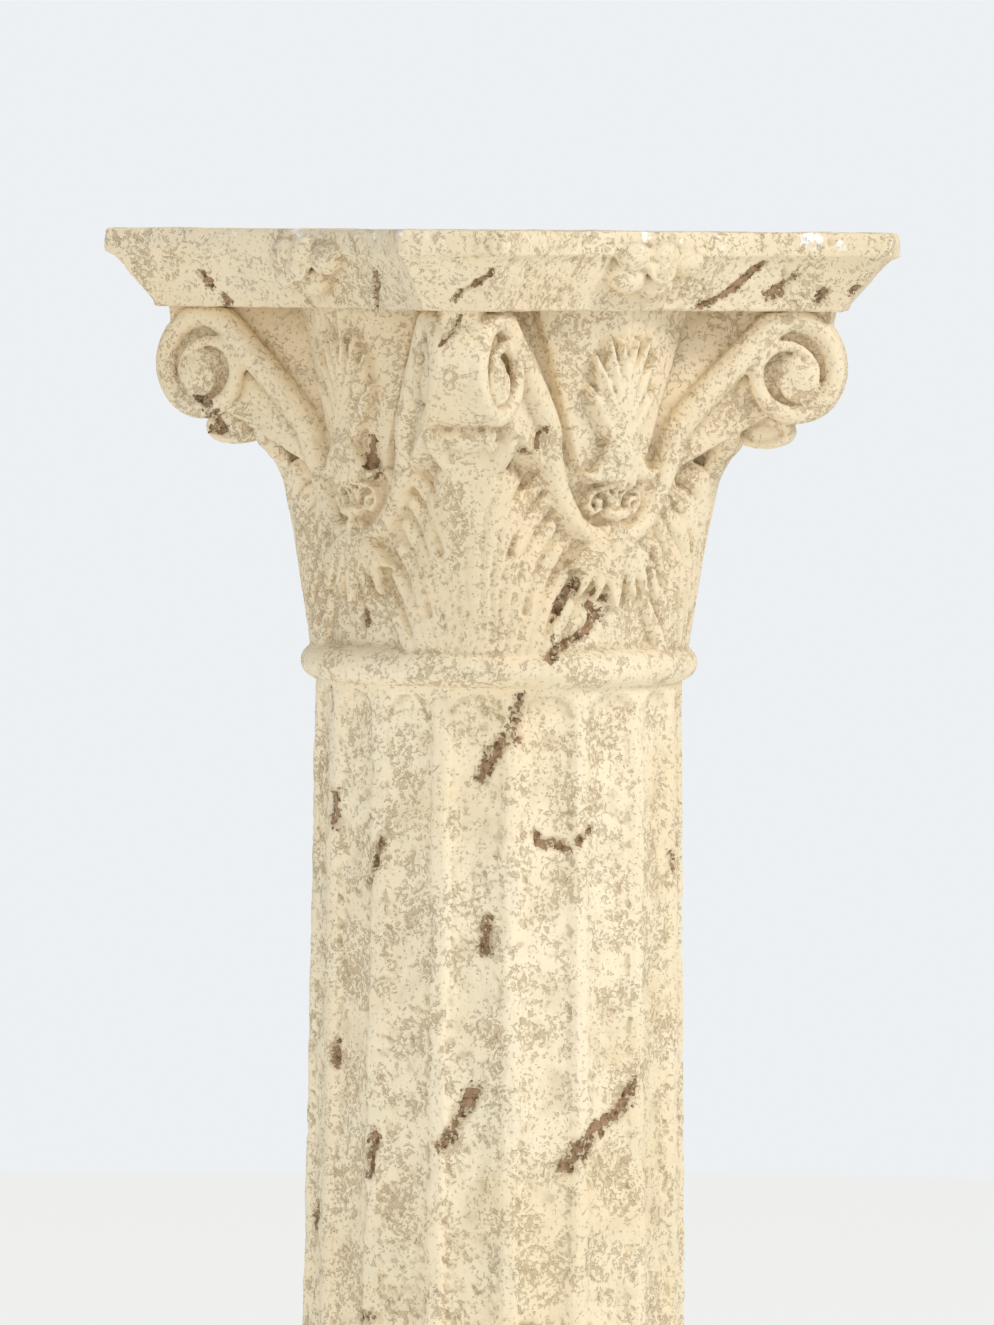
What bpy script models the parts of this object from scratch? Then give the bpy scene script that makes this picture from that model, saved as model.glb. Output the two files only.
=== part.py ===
# Corinthian column, a display pedestal cast as one piece: moulded square base, fluted shaft,
# ring, leafy capital with four pairs of volutes, and a top slab with hollowed sides.
# Metres, +Z up, origin at the middle of the underside, sides square to X and Y.

import math

import bmesh
import bpy
from mathutils import Vector

# Overall height
column_height = 1.000

# Base
plinth_side = 0.290
plinth_height = 0.040
plinth_edge_radius = 0.003
lower_torus_radius = 0.143
lower_torus_height = 0.034
upper_torus_radius = 0.123
upper_torus_height = 0.020
hollow_height = 0.016
hollow_radius = 0.112
fillet_height = 0.004
fillet_step = 0.006
foot_sweep_height = 0.014
moulding_sink = 0.001
moulding_arc_end = 75.0
hollow_stops = (0.3, 0.7)
foot_sweep_knee = (0.3, 0.65)

# Shaft
shaft_foot_radius = 0.104
shaft_neck_radius = 0.0952
flute_count = 16
flute_depth = 0.0052
flute_ridge_width = 0.0075
flute_foot_gap = 0.016
flute_neck_gap = 0.0015
flute_end_length = 0.011
flute_end_depth_share = 0.30
flute_end_width_share = 0.545
flute_cutter_flare = 1.15

# Ring under the capital
ring_radius = 0.1032
ring_height = 0.020
ring_sink = 0.006

# Bell of the capital
capital_height = 0.235
bell_waist_radius = 0.0915
bell_lip_radius = 0.1055
bell_flare_power = 2.2

# Top slab
slab_height = 0.0405
slab_band_height = 0.0125
slab_corner_distance = 0.2058
slab_corner_width = 0.053
slab_side_distance = 0.127
slab_edge_radius = 0.004
slab_under_corner_inset = 0.025
slab_under_corner_width = 0.036
slab_under_side_inset = 0.0136
slab_moulding = ((0.0, 0.0), (0.16, 0.30), (0.45, 0.56), (0.72, 0.84), (1.0, 1.0))

# Volutes
volute_centre_distance = 0.1525
volute_centre_drop = 0.0725
volute_reach = 0.0328
volute_squash = 0.87
volute_eye_share = 0.2
volute_tightening = 1.465
volute_turns = 1.5
volute_rim_start = 50.0
volute_rim_end = 204.0
volute_rim_steps = 11
volute_root_share = 0.75
volute_root_drop_share = 0.56
volute_rim_half_width = 0.0122
volute_top_half_width = 0.0144
volute_slab_sink = 0.003
volute_splay = math.radians(19.0)
band_share = 0.174
band_section = ((-1.0, -0.9), (-0.5, 0.8), (0.5, 0.8), (1.0, -0.9))
stem_half_width = 0.0062
stem_foot_share = 0.705
stem_meeting_angle = -40.0
# A stem from the middle of a face towards the corner: share of the way round, share of the bell's
# height above its foot, and how far it stands proud
stem_stations = (
    (0.0, 0.0, 0.0015),
    (0.19, 0.009, 0.002),
    (0.38, 0.086, 0.004),
    (0.51, 0.253, 0.010),
    (0.60, 0.413, 0.013),
)

# Corner leaves
leaf_half_width = 0.045
leaf_foot_half_width = 0.032
leaf_tip_half_width = 0.0165
leaf_relief = 0.0088
leaf_lobe_count = 5
leaf_lobe_depth = 0.24
leaf_lobe_rise = 0.22
leaf_rib_height = 0.0038
leaf_widest_share = 0.45
leaf_notch_power = 0.6
leaf_crown_share = 0.3
leaf_midrib_share = 0.15
leaf_back_share = 1.3
# The middle of a leaf: share of the bell's height above the ring, and distance from the bell's
# waist in thicknesses of the leaf
leaf_stations = ((0.0, 0.75), (0.13, 1.2), (0.315, 1.75), (0.48, 2.4), (0.565, 3.4))
leaf_curl_distance = 0.1545
leaf_curl_reach = 0.0165
leaf_curl_drop = 0.0945
leaf_curl_radius = 0.0088

# Ornaments on the middle of each face
flower_radius = 0.030
flower_height = 0.014
flower_petal_count = 5
flower_petal_notch = 0.26
flower_height_share = 0.92
flower_lean = 0.3
flower_sink = 0.012
palmette_half_width = 0.022
palmette_height = 0.052
palmette_drop = 0.0845
palmette_relief = 0.007
palmette_lobe_count = 3
palmette_notch = 0.30
cup_half_width = 0.0235
cup_height = 0.022
cup_drop = 0.1235
cup_relief = 0.008
cup_lobe_count = 3
cup_notch = 0.30
pendant_half_width = 0.0245
pendant_height = 0.041
pendant_drop = 0.1795
pendant_relief = 0.0055
pendant_lobe_count = 2
pendant_notch = 0.42
leafy_fullness = 0.8
leafy_tip_rise = 0.04
pad_rim_share = 0.45
pad_crown_share = 0.6
pad_sink = 0.006

# Smoothness
round_steps = 32
bell_steps = 4
moulding_steps = 4
flute_steps = 4
curl_steps = 7
slab_side_steps = 6
spiral_steps_per_turn = 9
leaf_columns = 6
leaf_rows_per_lobe = 4
pad_steps_per_lobe = 3
least_pad_lobe_count = 4

# Heights worked out from the sizes above
slab_underside = column_height - slab_height
capital_foot = column_height - capital_height
ring_top = capital_foot + ring_height
bell_height = slab_underside - ring_top
lower_torus_top = plinth_height + lower_torus_height
hollow_foot = lower_torus_top + fillet_height
hollow_top = hollow_foot + hollow_height
upper_torus_foot = hollow_top + fillet_height
upper_torus_top = upper_torus_foot + upper_torus_height
foot_sweep_foot = upper_torus_top + fillet_height
shaft_foot = foot_sweep_foot + foot_sweep_height
face_angles = [math.radians(90.0 * k) for k in range(4)]
corner_angles = [math.radians(45.0 + 90.0 * k) for k in range(4)]
core_inner_end = 0.5 * slab_height

for old in list(bpy.data.objects):
    bpy.data.objects.remove(old, do_unlink=True)

scene = bpy.context.scene
column_collection = bpy.data.collections.new("corinthian_column")
scene.collection.children.link(column_collection)
cutter_collection = bpy.data.collections.new("cutters")
scene.collection.children.link(cutter_collection)


def add_object(name, mesh, collection=column_collection):
    """Put a mesh in the scene as an object."""
    thing = bpy.data.objects.new(name, mesh)
    collection.objects.link(thing)
    return thing


def evaluated_mesh(thing):
    """Return the object's mesh as its modifiers leave it."""
    depsgraph = bpy.context.evaluated_depsgraph_get()
    return bpy.data.meshes.new_from_object(thing.evaluated_get(depsgraph))


def loft(name, sections, collection=column_collection, end_centres=None):
    """Join rings of equally many points into one closed body, each end flat or a fan round a centre."""
    model = bmesh.new()
    rings = [[model.verts.new(point) for point in section] for section in sections]
    count = len(rings[0])
    for lower, upper in zip(rings, rings[1:]):
        for k in range(count):
            after = (k + 1) % count
            model.faces.new((lower[k], lower[after], upper[after], upper[k]))
    if end_centres is None:
        model.faces.new(rings[0])
        model.faces.new(rings[-1])
    else:
        for ring, centre in zip((rings[0], rings[-1]), end_centres):
            middle = model.verts.new(centre)
            for k in range(count):
                model.faces.new((ring[k], ring[(k + 1) % count], middle))
    bmesh.ops.recalc_face_normals(model, faces=model.faces)
    if model.calc_volume(signed=True) < 0.0:
        bmesh.ops.reverse_faces(model, faces=model.faces)
    mesh = bpy.data.meshes.new(name)
    model.to_mesh(mesh)
    model.free()
    return add_object(name, mesh, collection)


def combine(target, tool, operation):
    """Join a tool to the target, or cut it from the target, and remove the tool."""
    modifier = target.modifiers.new(operation.lower(), "BOOLEAN")
    modifier.operation = operation
    modifier.solver = "EXACT"
    modifier.object = tool
    result = evaluated_mesh(target)
    target.modifiers.clear()
    old = target.data
    target.data = result
    bpy.data.meshes.remove(old)
    bpy.data.objects.remove(tool, do_unlink=True)


def from_axis(angle, distance, sideways, z):
    """Point at a distance from the axis along a plan direction, with an offset sideways to it."""
    forward = Vector((math.cos(angle), math.sin(angle), 0.0))
    side = Vector((-math.sin(angle), math.cos(angle), 0.0))
    return forward * distance + side * sideways + Vector((0.0, 0.0, z))


def bell_radius(z):
    """Radius of the bare bell, narrow over the ring and flaring to its lip under the slab."""
    share = min(max((z - ring_top) / bell_height, 0.0), 1.0)
    return bell_waist_radius + (bell_lip_radius - bell_waist_radius) * share ** bell_flare_power


def on_bell(angle, sideways, z, proud):
    """Point on the bell, sideways along its curve and standing proud of it."""
    radius = bell_radius(z)
    turned = angle + sideways / radius
    return from_axis(turned, radius + proud, 0.0, z)


def smooth_path(stations, steps):
    """Points on a smooth curve through the stations, a few between each two."""
    points = []
    last = len(stations) - 1
    for k in range(last):
        before = Vector(stations[max(k - 1, 0)])
        start = Vector(stations[k])
        end = Vector(stations[k + 1])
        after = Vector(stations[min(k + 2, last)])
        for step in range(steps):
            t = step / steps
            bend = (2 * before - 5 * start + 4 * end - after) * t * t
            bend += (3 * start - before - 3 * end + after) * t ** 3
            points.append(0.5 * (2 * start + (end - before) * t + bend))
    points.append(Vector(stations[-1]))
    return points


# Core: a turned profile from inside the slab, down the bell, ring, shaft and base mouldings


def arc_points(centre_radius, centre_z, reach, half_height, end):
    """Points of a moulding's round face, from its upper edge down to an angle in degrees."""
    points = []
    for k in range(moulding_steps + 1):
        angle = math.radians(moulding_arc_end + (end - moulding_arc_end) * k / moulding_steps)
        points.append((centre_radius + reach * math.cos(angle), centre_z + half_height * math.sin(angle)))
    return points


def core_profile():
    """Radius and height of the turned core, from the top down."""
    points = [(0.0, slab_underside + core_inner_end), (bell_lip_radius, slab_underside + core_inner_end)]
    for k in range(bell_steps + 1):
        z = slab_underside - bell_height * k / bell_steps
        points.append((bell_radius(z), z))
    ring_centre = shaft_neck_radius - ring_sink
    ring_middle = capital_foot + ring_height / 2
    ring_reach = ring_radius - ring_centre
    points += arc_points(ring_centre, ring_middle, ring_reach, ring_height / 2, -moulding_arc_end)
    points.append((shaft_neck_radius, capital_foot))
    points.append((shaft_foot_radius, shaft_foot))
    sweep = upper_torus_radius - fillet_step - shaft_foot_radius
    knee_out, knee_down = foot_sweep_knee
    points.append((shaft_foot_radius + sweep * knee_out, shaft_foot - foot_sweep_height * knee_down))
    points.append((shaft_foot_radius + sweep, foot_sweep_foot))
    points.append((shaft_foot_radius + sweep, upper_torus_top))
    upper_half = upper_torus_height / 2
    upper_middle = upper_torus_foot + upper_half
    upper_centre = upper_torus_radius - upper_half
    points += arc_points(upper_centre, upper_middle, upper_half, upper_half, -moulding_arc_end)
    upper_fillet_radius = hollow_radius + fillet_step
    points += [(upper_fillet_radius, upper_torus_foot), (upper_fillet_radius, hollow_top)]
    lower_fillet_radius = lower_torus_radius - lower_torus_height / 2
    for share in hollow_stops:
        z = hollow_top - hollow_height * share
        bulge = math.sin(math.pi * share) * (upper_fillet_radius - hollow_radius)
        edge = upper_fillet_radius + (lower_fillet_radius - upper_fillet_radius) * share ** 2
        points.append((edge - bulge, z))
    points += [(lower_fillet_radius, hollow_foot), (lower_fillet_radius, lower_torus_top)]
    lower_half = lower_torus_height / 2
    lower_middle = plinth_height + lower_half - moulding_sink
    lower_centre = lower_torus_radius - lower_half
    points += arc_points(lower_centre, lower_middle, lower_half, lower_half, -90.0)
    points.append((lower_centre, plinth_height / 2))
    points.append((0.0, plinth_height / 2))
    return points


def make_core():
    """Turn the profile once round the axis."""
    profile = core_profile()
    mesh = bpy.data.meshes.new("column")
    edges = [(k, k + 1) for k in range(len(profile) - 1)]
    mesh.from_pydata([(radius, 0.0, z) for radius, z in profile], edges, [])
    core = add_object("column", mesh)
    screw = core.modifiers.new("turn", "SCREW")
    screw.axis = "Z"
    screw.steps = round_steps
    screw.render_steps = round_steps
    screw.use_merge_vertices = True
    screw.merge_threshold = 0.00001
    turned = evaluated_mesh(core)
    core.modifiers.clear()
    core.data = turned
    bpy.data.meshes.remove(mesh)
    return core


# Flutes: shallow round-headed channels, one on the middle line of each face and of each corner


def flute_section(angle, length_share, depth_share, width_share):
    """One cross-section of a flute's cutter; both shares are 1 along the flute and fall at its ends."""
    z = shaft_foot + (capital_foot - shaft_foot) * length_share
    surface = shaft_foot_radius + (shaft_neck_radius - shaft_foot_radius) * length_share
    pitch = 2 * math.pi * surface / flute_count
    half_width = (pitch - flute_ridge_width) / 2
    outer = surface + flute_depth
    points = []
    for k in range(flute_steps + 1):
        across = -1.0 + 2.0 * k / flute_steps
        depth = flute_depth * depth_share * (1.0 - across ** 2)
        sideways = half_width * width_share * across
        edge = math.sqrt(surface ** 2 - sideways ** 2)
        points.append(from_axis(angle, edge - depth, sideways, z))
    reach = half_width * width_share * flute_cutter_flare
    points.append(from_axis(angle, outer, reach, z))
    points.append(from_axis(angle, outer, -reach, z))
    return points


def cut_flutes(column):
    """Cut all the flutes from the shaft."""
    length = capital_foot - shaft_foot
    foot = flute_foot_gap / length
    neck = 1.0 - flute_neck_gap / length
    end = flute_end_length / length
    stops = [
        (foot, flute_end_depth_share, flute_end_width_share),
        (foot + end, 1.0, 1.0),
        (neck - end / 2, 1.0, 1.0),
        (neck, flute_end_depth_share, flute_end_width_share),
    ]
    for k in range(flute_count):
        angle = 2 * math.pi * k / flute_count
        sections = [flute_section(angle, *stop) for stop in stops]
        cutter = loft(f"flute_cutter_{k + 1}", sections, cutter_collection)
        cutter.hide_render = True
        cutter.display_type = "WIRE"
        combine(column, cutter, "DIFFERENCE")


# Top slab: four hollowed sides and four cut corners, a flat band over a hollow moulding


def slab_outline(corner_distance, corner_width, side_distance, z):
    """The slab's plan at one height: an arc along each side, a straight cut at each corner."""
    half_cut = corner_width / 2 / math.sqrt(2)
    corner_x = corner_distance / math.sqrt(2) + half_cut
    corner_y = corner_distance / math.sqrt(2) - half_cut
    sagitta = corner_x - side_distance
    arc_radius = (corner_y ** 2 + sagitta ** 2) / (2 * sagitta)
    half_sweep = math.asin(corner_y / arc_radius)
    points = []
    for angle in face_angles:
        for k in range(slab_side_steps + 1):
            sweep = half_sweep * (2.0 * k / slab_side_steps - 1.0)
            distance = side_distance + arc_radius * (1.0 - math.cos(sweep))
            points.append(from_axis(angle, distance, arc_radius * math.sin(sweep), z))
    return points


def make_slab():
    """Loft the slab through its moulding, from the top down."""
    moulding_height = slab_height - slab_band_height
    stops = []
    for turned in (90.0, 45.0, 0.0):
        drop = slab_edge_radius * (1.0 - math.sin(math.radians(turned)))
        inset = slab_edge_radius / 2 * (1.0 - math.cos(math.radians(turned)))
        stops.append((drop, inset / slab_under_corner_inset))
    for drop_share, inset_share in slab_moulding:
        stops.append((slab_band_height + moulding_height * drop_share, inset_share))
    sections = []
    for drop, share in stops:
        corner = slab_corner_distance - slab_under_corner_inset * share
        width = slab_corner_width + (slab_under_corner_width - slab_corner_width) * share
        side = slab_side_distance - slab_under_side_inset * share
        sections.append(slab_outline(corner, width, side, column_height - drop))
    return loft("slab", sections)


# Plinth: a square block with softened edges


def make_plinth():
    """The square block under the base mouldings."""
    bpy.ops.mesh.primitive_cube_add(size=1.0, location=(0.0, 0.0, plinth_height / 2))
    plinth = bpy.context.object
    plinth.name = "plinth"
    plinth.scale = (plinth_side, plinth_side, plinth_height)
    bpy.ops.object.transform_apply(location=True, rotation=False, scale=True)
    bevel = plinth.modifiers.new("soft_edges", "BEVEL")
    bevel.width = plinth_edge_radius
    bevel.segments = 2
    softened = evaluated_mesh(plinth)
    plinth.modifiers.clear()
    plinth.data = softened
    return plinth


# Volutes: a wedge at each corner with a spiral band on both of its faces


def spiral_radius(turned):
    """Distance of the volute's outer edge from its centre, after turning from the top."""
    wound = max(turned, 0.0) / (2 * math.pi * volute_turns)
    return volute_reach * (1.0 - (1.0 - volute_eye_share) * wound ** volute_tightening)


def spiral_point(turned, share=1.0):
    """Distance from the axis and height of a point of the spiral, turning outwards from the top."""
    reach = spiral_radius(turned) * share
    centre_z = column_height - volute_centre_drop
    sideways = reach * volute_squash * math.sin(turned)
    return volute_centre_distance + sideways, centre_z + reach * math.cos(turned)


def volute_half_width(distance):
    """Half the wedge's thickness, growing from the rim towards the bell."""
    rim = spiral_point(math.pi / 2)[0]
    return volute_rim_half_width + (rim - distance) * math.tan(volute_splay)


def make_volute_wedge(angle):
    """The body between the two spiral faces of one corner, filled up to the slab."""
    top = slab_underside + volute_slab_sink
    under_slab = slab_corner_distance - slab_under_corner_inset - moulding_sink
    inner = bell_waist_radius * volute_root_share
    outline = [(inner, top, volute_half_width(inner)), (under_slab, top, volute_top_half_width)]
    for k in range(volute_rim_steps + 1):
        turned = volute_rim_start + (volute_rim_end - volute_rim_start) * k / volute_rim_steps
        distance, z = spiral_point(math.radians(turned))
        outline.append((distance, z, volute_half_width(distance)))
    low = slab_underside - bell_height * volute_root_drop_share
    outline.append((inner, low, inner / 2))
    left = [from_axis(angle, distance, half, z) for distance, z, half in outline]
    right = [from_axis(angle, distance, -half, z) for distance, z, half in outline]
    centre_z = column_height - volute_centre_drop
    half = volute_half_width(volute_centre_distance)
    centres = [from_axis(angle, volute_centre_distance, side * half, centre_z) for side in (1, -1)]
    return loft("volute_wedge", [left, right], end_centres=centres)


def half_band_path(corner_angle, side):
    """A stem from the foot of a face into the corner's spiral: points, outward directions, widths."""
    foot_z = slab_underside - bell_height * stem_foot_share
    stations = [(share, foot_z + bell_height * rise, proud) for share, rise, proud in stem_stations]
    path = []
    for share, z, proud in smooth_path(stations, 2):
        turned = corner_angle + side * math.radians(45.0) * (1.0 - share)
        point = from_axis(turned, bell_radius(z) + proud, 0.0, z)
        path.append((point, from_axis(turned, 1.0, 0.0, 0.0), stem_half_width))
    outward = from_axis(corner_angle, math.sin(volute_splay), side * math.cos(volute_splay), 0.0)
    first = math.radians(stem_meeting_angle)
    last = 2 * math.pi * volute_turns
    count = round(spiral_steps_per_turn * (last - first) / (2 * math.pi))
    for k in range(count + 1):
        turned = first + (last - first) * k / count
        distance, z = spiral_point(turned, 1.0 - band_share)
        point = from_axis(corner_angle, distance, side * volute_half_width(distance), z)
        path.append((point, outward, min(stem_half_width, spiral_radius(turned) * band_share)))
    return path


def make_band(angle):
    """The band of one face: a spiral, its stem down to the middle, and the same up the other side."""
    eighth = math.radians(45.0)
    right = half_band_path(angle - eighth, 1)
    left = half_band_path(angle + eighth, -1)
    path = right[::-1] + left[1:]
    sections = []
    for k, (point, outward, width) in enumerate(path):
        before = path[max(k - 1, 0)][0]
        after = path[min(k + 1, len(path) - 1)][0]
        along = (after - before).normalized()
        across = along.cross(outward).normalized()
        up = across.cross(along).normalized()
        sections.append([point + across * width * x + up * width * y for x, y in band_section])
    return loft("volute_band", sections)


def add_volutes(column):
    """Wedges first, then the bands that wind up on them."""
    for angle in corner_angles:
        combine(column, make_volute_wedge(angle), "UNION")
    for angle in face_angles:
        combine(column, make_band(angle), "UNION")


# Corner leaves: a ribbed, lobed leaf rising up each corner and curling out under the volute


def leaf_spine():
    """Distance from the axis and height along the middle of a leaf, from the ring to where it curls."""
    curl_z = column_height - leaf_curl_drop
    stations = []
    for rise, proud in leaf_stations:
        stations.append((bell_waist_radius + leaf_relief * proud, ring_top + bell_height * rise, 0.0))
    stations.append((leaf_curl_distance - leaf_curl_reach, curl_z - leaf_curl_radius, 0.0))
    return [(p.x, p.y) for p in smooth_path(stations, 3)]


def leaf_width(share):
    """Half the leaf's width along its spine, with its rounded lobes; share runs from foot to tip."""
    if share < leaf_widest_share:
        swell = math.sin(math.pi / 2 * share / leaf_widest_share)
        plain = leaf_foot_half_width + (leaf_half_width - leaf_foot_half_width) * swell
    else:
        fall = math.cos(math.pi / 2 * (share - leaf_widest_share) / (1.0 - leaf_widest_share))
        plain = leaf_tip_half_width + (leaf_half_width - leaf_tip_half_width) * fall
    notch = 1.0 - abs(math.sin(math.pi * leaf_lobe_count * share)) ** leaf_notch_power
    return plain * (1.0 - leaf_lobe_depth * notch)


def leaf_surface(share, across):
    """How far the carved skin stands from the plain leaf: lobes run up and outwards from the midrib."""
    crest = leaf_lobe_count * (share + leaf_lobe_rise * (1.0 - abs(across))) - 0.5
    rib = leaf_rib_height * math.cos(2 * math.pi * crest) * abs(across)
    crown = leaf_relief * leaf_crown_share * (math.sqrt(max(0.0, 1.0 - across ** 2)) - 1.0)
    midrib = leaf_rib_height * math.exp(-(across / leaf_midrib_share) ** 2)
    return rib * (1.0 - share ** 2) + crown + midrib


def make_leaf(angle):
    """One leaf as a closed body: a carved outer skin over a plain back inside the bell."""
    spine = leaf_spine()
    rows = leaf_lobe_count * leaf_rows_per_lobe
    sections = []
    for row in range(rows + 1):
        share = row / rows
        place = share * (len(spine) - 1)
        k = min(int(place), len(spine) - 2)
        start = Vector(spine[k])
        end = Vector(spine[k + 1])
        point = start.lerp(end, place - k)
        along = (end - start).normalized()
        outward = Vector((along.y, -along.x))
        half_width = leaf_width(share)
        section = []
        for column in range(leaf_columns + 1):
            across = 2.0 * column / leaf_columns - 1.0
            skin = point + outward * leaf_surface(share, across)
            section.append(from_axis(angle + half_width * across / point.x, skin.x, 0.0, skin.y))
        back = point - outward * leaf_relief * leaf_back_share
        for across in (0.9, -0.9):
            section.append(from_axis(angle + half_width * across / point.x, back.x, 0.0, back.y))
        sections.append(section)
    return loft("leaf", sections)


def make_leaf_curl(angle):
    """The rounded lip in which a leaf ends, rolled forward under the volutes."""
    middle = leaf_curl_distance - leaf_curl_reach
    z = column_height - leaf_curl_drop - leaf_curl_radius
    sections = []
    for share, girth in ((-1.0, 0.5), (-0.6, 1.0), (0.6, 1.0), (1.0, 0.5)):
        section = []
        for k in range(curl_steps):
            turned = 2 * math.pi * k / curl_steps
            forward = middle + leaf_curl_reach * girth * math.cos(turned)
            up = leaf_curl_radius * girth * math.sin(turned)
            section.append(from_axis(angle, forward, leaf_tip_half_width * share, z + up))
        sections.append(section)
    return loft("leaf_curl", sections)


# Ornaments on each face: flower on the slab, palmette, cup and pendant leaf


def make_pad(name, outline, relief, place, sink):
    """A crowned pad over a lobed outline; place maps sideways, up and proud to a point."""
    levels = ((1.0, -sink), (1.0, relief * pad_rim_share), (pad_crown_share, relief))
    sections = []
    for share, proud in levels:
        sections.append([place(sideways * share, up * share, proud) for sideways, up in outline])
    return loft(name, sections)


def lobed_outline(half_width, half_height, lobes, lobe_depth, start):
    """Points round a lobed oval; start turns the first lobe."""
    points = []
    steps = pad_steps_per_lobe * max(lobes, least_pad_lobe_count)
    for k in range(steps):
        angle = 2 * math.pi * k / steps
        wave = 1.0 - lobe_depth * (0.5 - 0.5 * math.cos(lobes * (angle - start)))
        points.append((half_width * wave * math.cos(angle), half_height * wave * math.sin(angle)))
    return points


def leafy_outline(half_width, height, lobes, lobe_depth):
    """Points round an upright leaf with lobes on both sides of its height."""
    steps = 2 * lobes
    right = []
    for k in range(1, steps + 1):
        share = k / (steps + 1)
        swell = math.sin(math.pi * share ** leafy_fullness)
        notched = k % 2
        wave = 1.0 - lobe_depth * notched
        rise = share - 0.5 + leafy_tip_rise * (1 - notched)
        right.append((half_width * swell * wave, height * rise))
    left = [(-sideways, up) for sideways, up in reversed(right)]
    return [(0.0, -height / 2)] + right + [(0.0, height / 2)] + left


def make_flower(angle):
    """The flower on the middle of one side of the slab."""
    flower_z = column_height - slab_height / 2

    def on_slab(sideways, up, proud):
        distance = slab_side_distance - flower_sink / 2 + up * flower_lean + proud
        return from_axis(angle, distance, sideways, flower_z + up)

    half_height = slab_height * flower_height_share / 2
    petals = lobed_outline(flower_radius, half_height, flower_petal_count, flower_petal_notch, math.pi / 2)
    return make_pad("flower", petals, flower_height, on_slab, flower_sink)


def add_face_ornaments(column, angle):
    """All that is carved on the bell along the middle line of one face."""
    palmette = leafy_outline(palmette_half_width, palmette_height, palmette_lobe_count, palmette_notch)
    cup = lobed_outline(cup_half_width, cup_height / 2, cup_lobe_count, cup_notch, -math.pi / 2)
    hanging = leafy_outline(pendant_half_width, pendant_height, pendant_lobe_count, pendant_notch)
    pendant = [(sideways, -rise) for sideways, rise in hanging]
    pads = (
        ("palmette", palmette, palmette_drop, palmette_relief),
        ("cup", cup, cup_drop, cup_relief),
        ("pendant", pendant, pendant_drop, pendant_relief),
    )
    for name, outline, drop, relief in pads:

        def place(sideways, up, proud, middle=column_height - drop):
            return on_bell(angle, sideways, middle + up, proud)

        combine(column, make_pad(name, outline, relief, place, pad_sink), "UNION")


def plaster_material():
    """Cream plaster finish."""
    material = bpy.data.materials.new("cream_plaster")
    material.use_nodes = True
    shader = material.node_tree.nodes["Principled BSDF"]
    shader.inputs["Base Color"].default_value = (0.78, 0.66, 0.46, 1.0)
    shader.inputs["Roughness"].default_value = 0.75
    shader.inputs["Metallic"].default_value = 0.0
    return material


column = make_core()
cut_flutes(column)
add_volutes(column)
for corner_angle in corner_angles:
    combine(column, make_leaf(corner_angle), "UNION")
    combine(column, make_leaf_curl(corner_angle), "UNION")
for face_angle in face_angles:
    add_face_ornaments(column, face_angle)
slab = make_slab()
for face_angle in face_angles:
    combine(slab, make_flower(face_angle), "UNION")
combine(column, slab, "UNION")
combine(column, make_plinth(), "UNION")

column.data.materials.clear()
column.data.materials.append(plaster_material())
column.data.shade_smooth()
column.data.set_sharp_from_angle(angle=math.radians(38.0))
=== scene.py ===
import math

import bmesh
import bpy
import numpy as np
from mathutils import Matrix, Vector
from mathutils.bvhtree import BVHTree


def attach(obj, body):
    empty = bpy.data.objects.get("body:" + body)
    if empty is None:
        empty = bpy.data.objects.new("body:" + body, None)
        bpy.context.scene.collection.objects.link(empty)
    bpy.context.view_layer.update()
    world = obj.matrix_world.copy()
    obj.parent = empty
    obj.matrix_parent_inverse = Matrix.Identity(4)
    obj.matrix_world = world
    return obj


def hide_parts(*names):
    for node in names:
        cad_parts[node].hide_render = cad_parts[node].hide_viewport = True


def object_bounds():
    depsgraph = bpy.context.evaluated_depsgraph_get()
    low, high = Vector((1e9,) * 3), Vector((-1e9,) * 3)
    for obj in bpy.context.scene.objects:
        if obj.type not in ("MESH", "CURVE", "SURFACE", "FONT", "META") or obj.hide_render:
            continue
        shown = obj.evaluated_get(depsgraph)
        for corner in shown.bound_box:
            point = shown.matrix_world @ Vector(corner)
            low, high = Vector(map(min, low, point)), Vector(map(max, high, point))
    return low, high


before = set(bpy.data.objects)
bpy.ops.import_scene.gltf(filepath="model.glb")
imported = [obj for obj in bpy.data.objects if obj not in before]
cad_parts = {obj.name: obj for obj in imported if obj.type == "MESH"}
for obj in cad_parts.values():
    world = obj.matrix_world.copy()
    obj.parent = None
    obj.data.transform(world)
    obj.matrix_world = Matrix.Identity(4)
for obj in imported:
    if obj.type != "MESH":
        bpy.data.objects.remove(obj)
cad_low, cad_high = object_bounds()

# Camera: stands level with the top of the slab, facing one of its corners, and looks slightly down,
# so that the frame cuts the shaft off and shows the slab from its edge.

photo_width = 994.0
photo_height = 1325.0
photo_axis_x = 500.5
photo_top_y = 228.0
roll_shift_x = 1.5
photo_pixels_per_metre = 1924.0
view_azimuth = math.radians(52.0)
view_distance = 4.45
view_roll = math.radians(0.43)
column_height = cad_high.z

view_from = Vector((math.sin(view_azimuth), -math.cos(view_azimuth), 0.0)) * view_distance
view_from.z = column_height
view_right = Vector((math.cos(view_azimuth), math.sin(view_azimuth), 0.0))
aim = view_right * ((photo_width / 2 - photo_axis_x + roll_shift_x) / photo_pixels_per_metre)
aim.z = column_height - (photo_height / 2 - photo_top_y) / photo_pixels_per_metre

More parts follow.
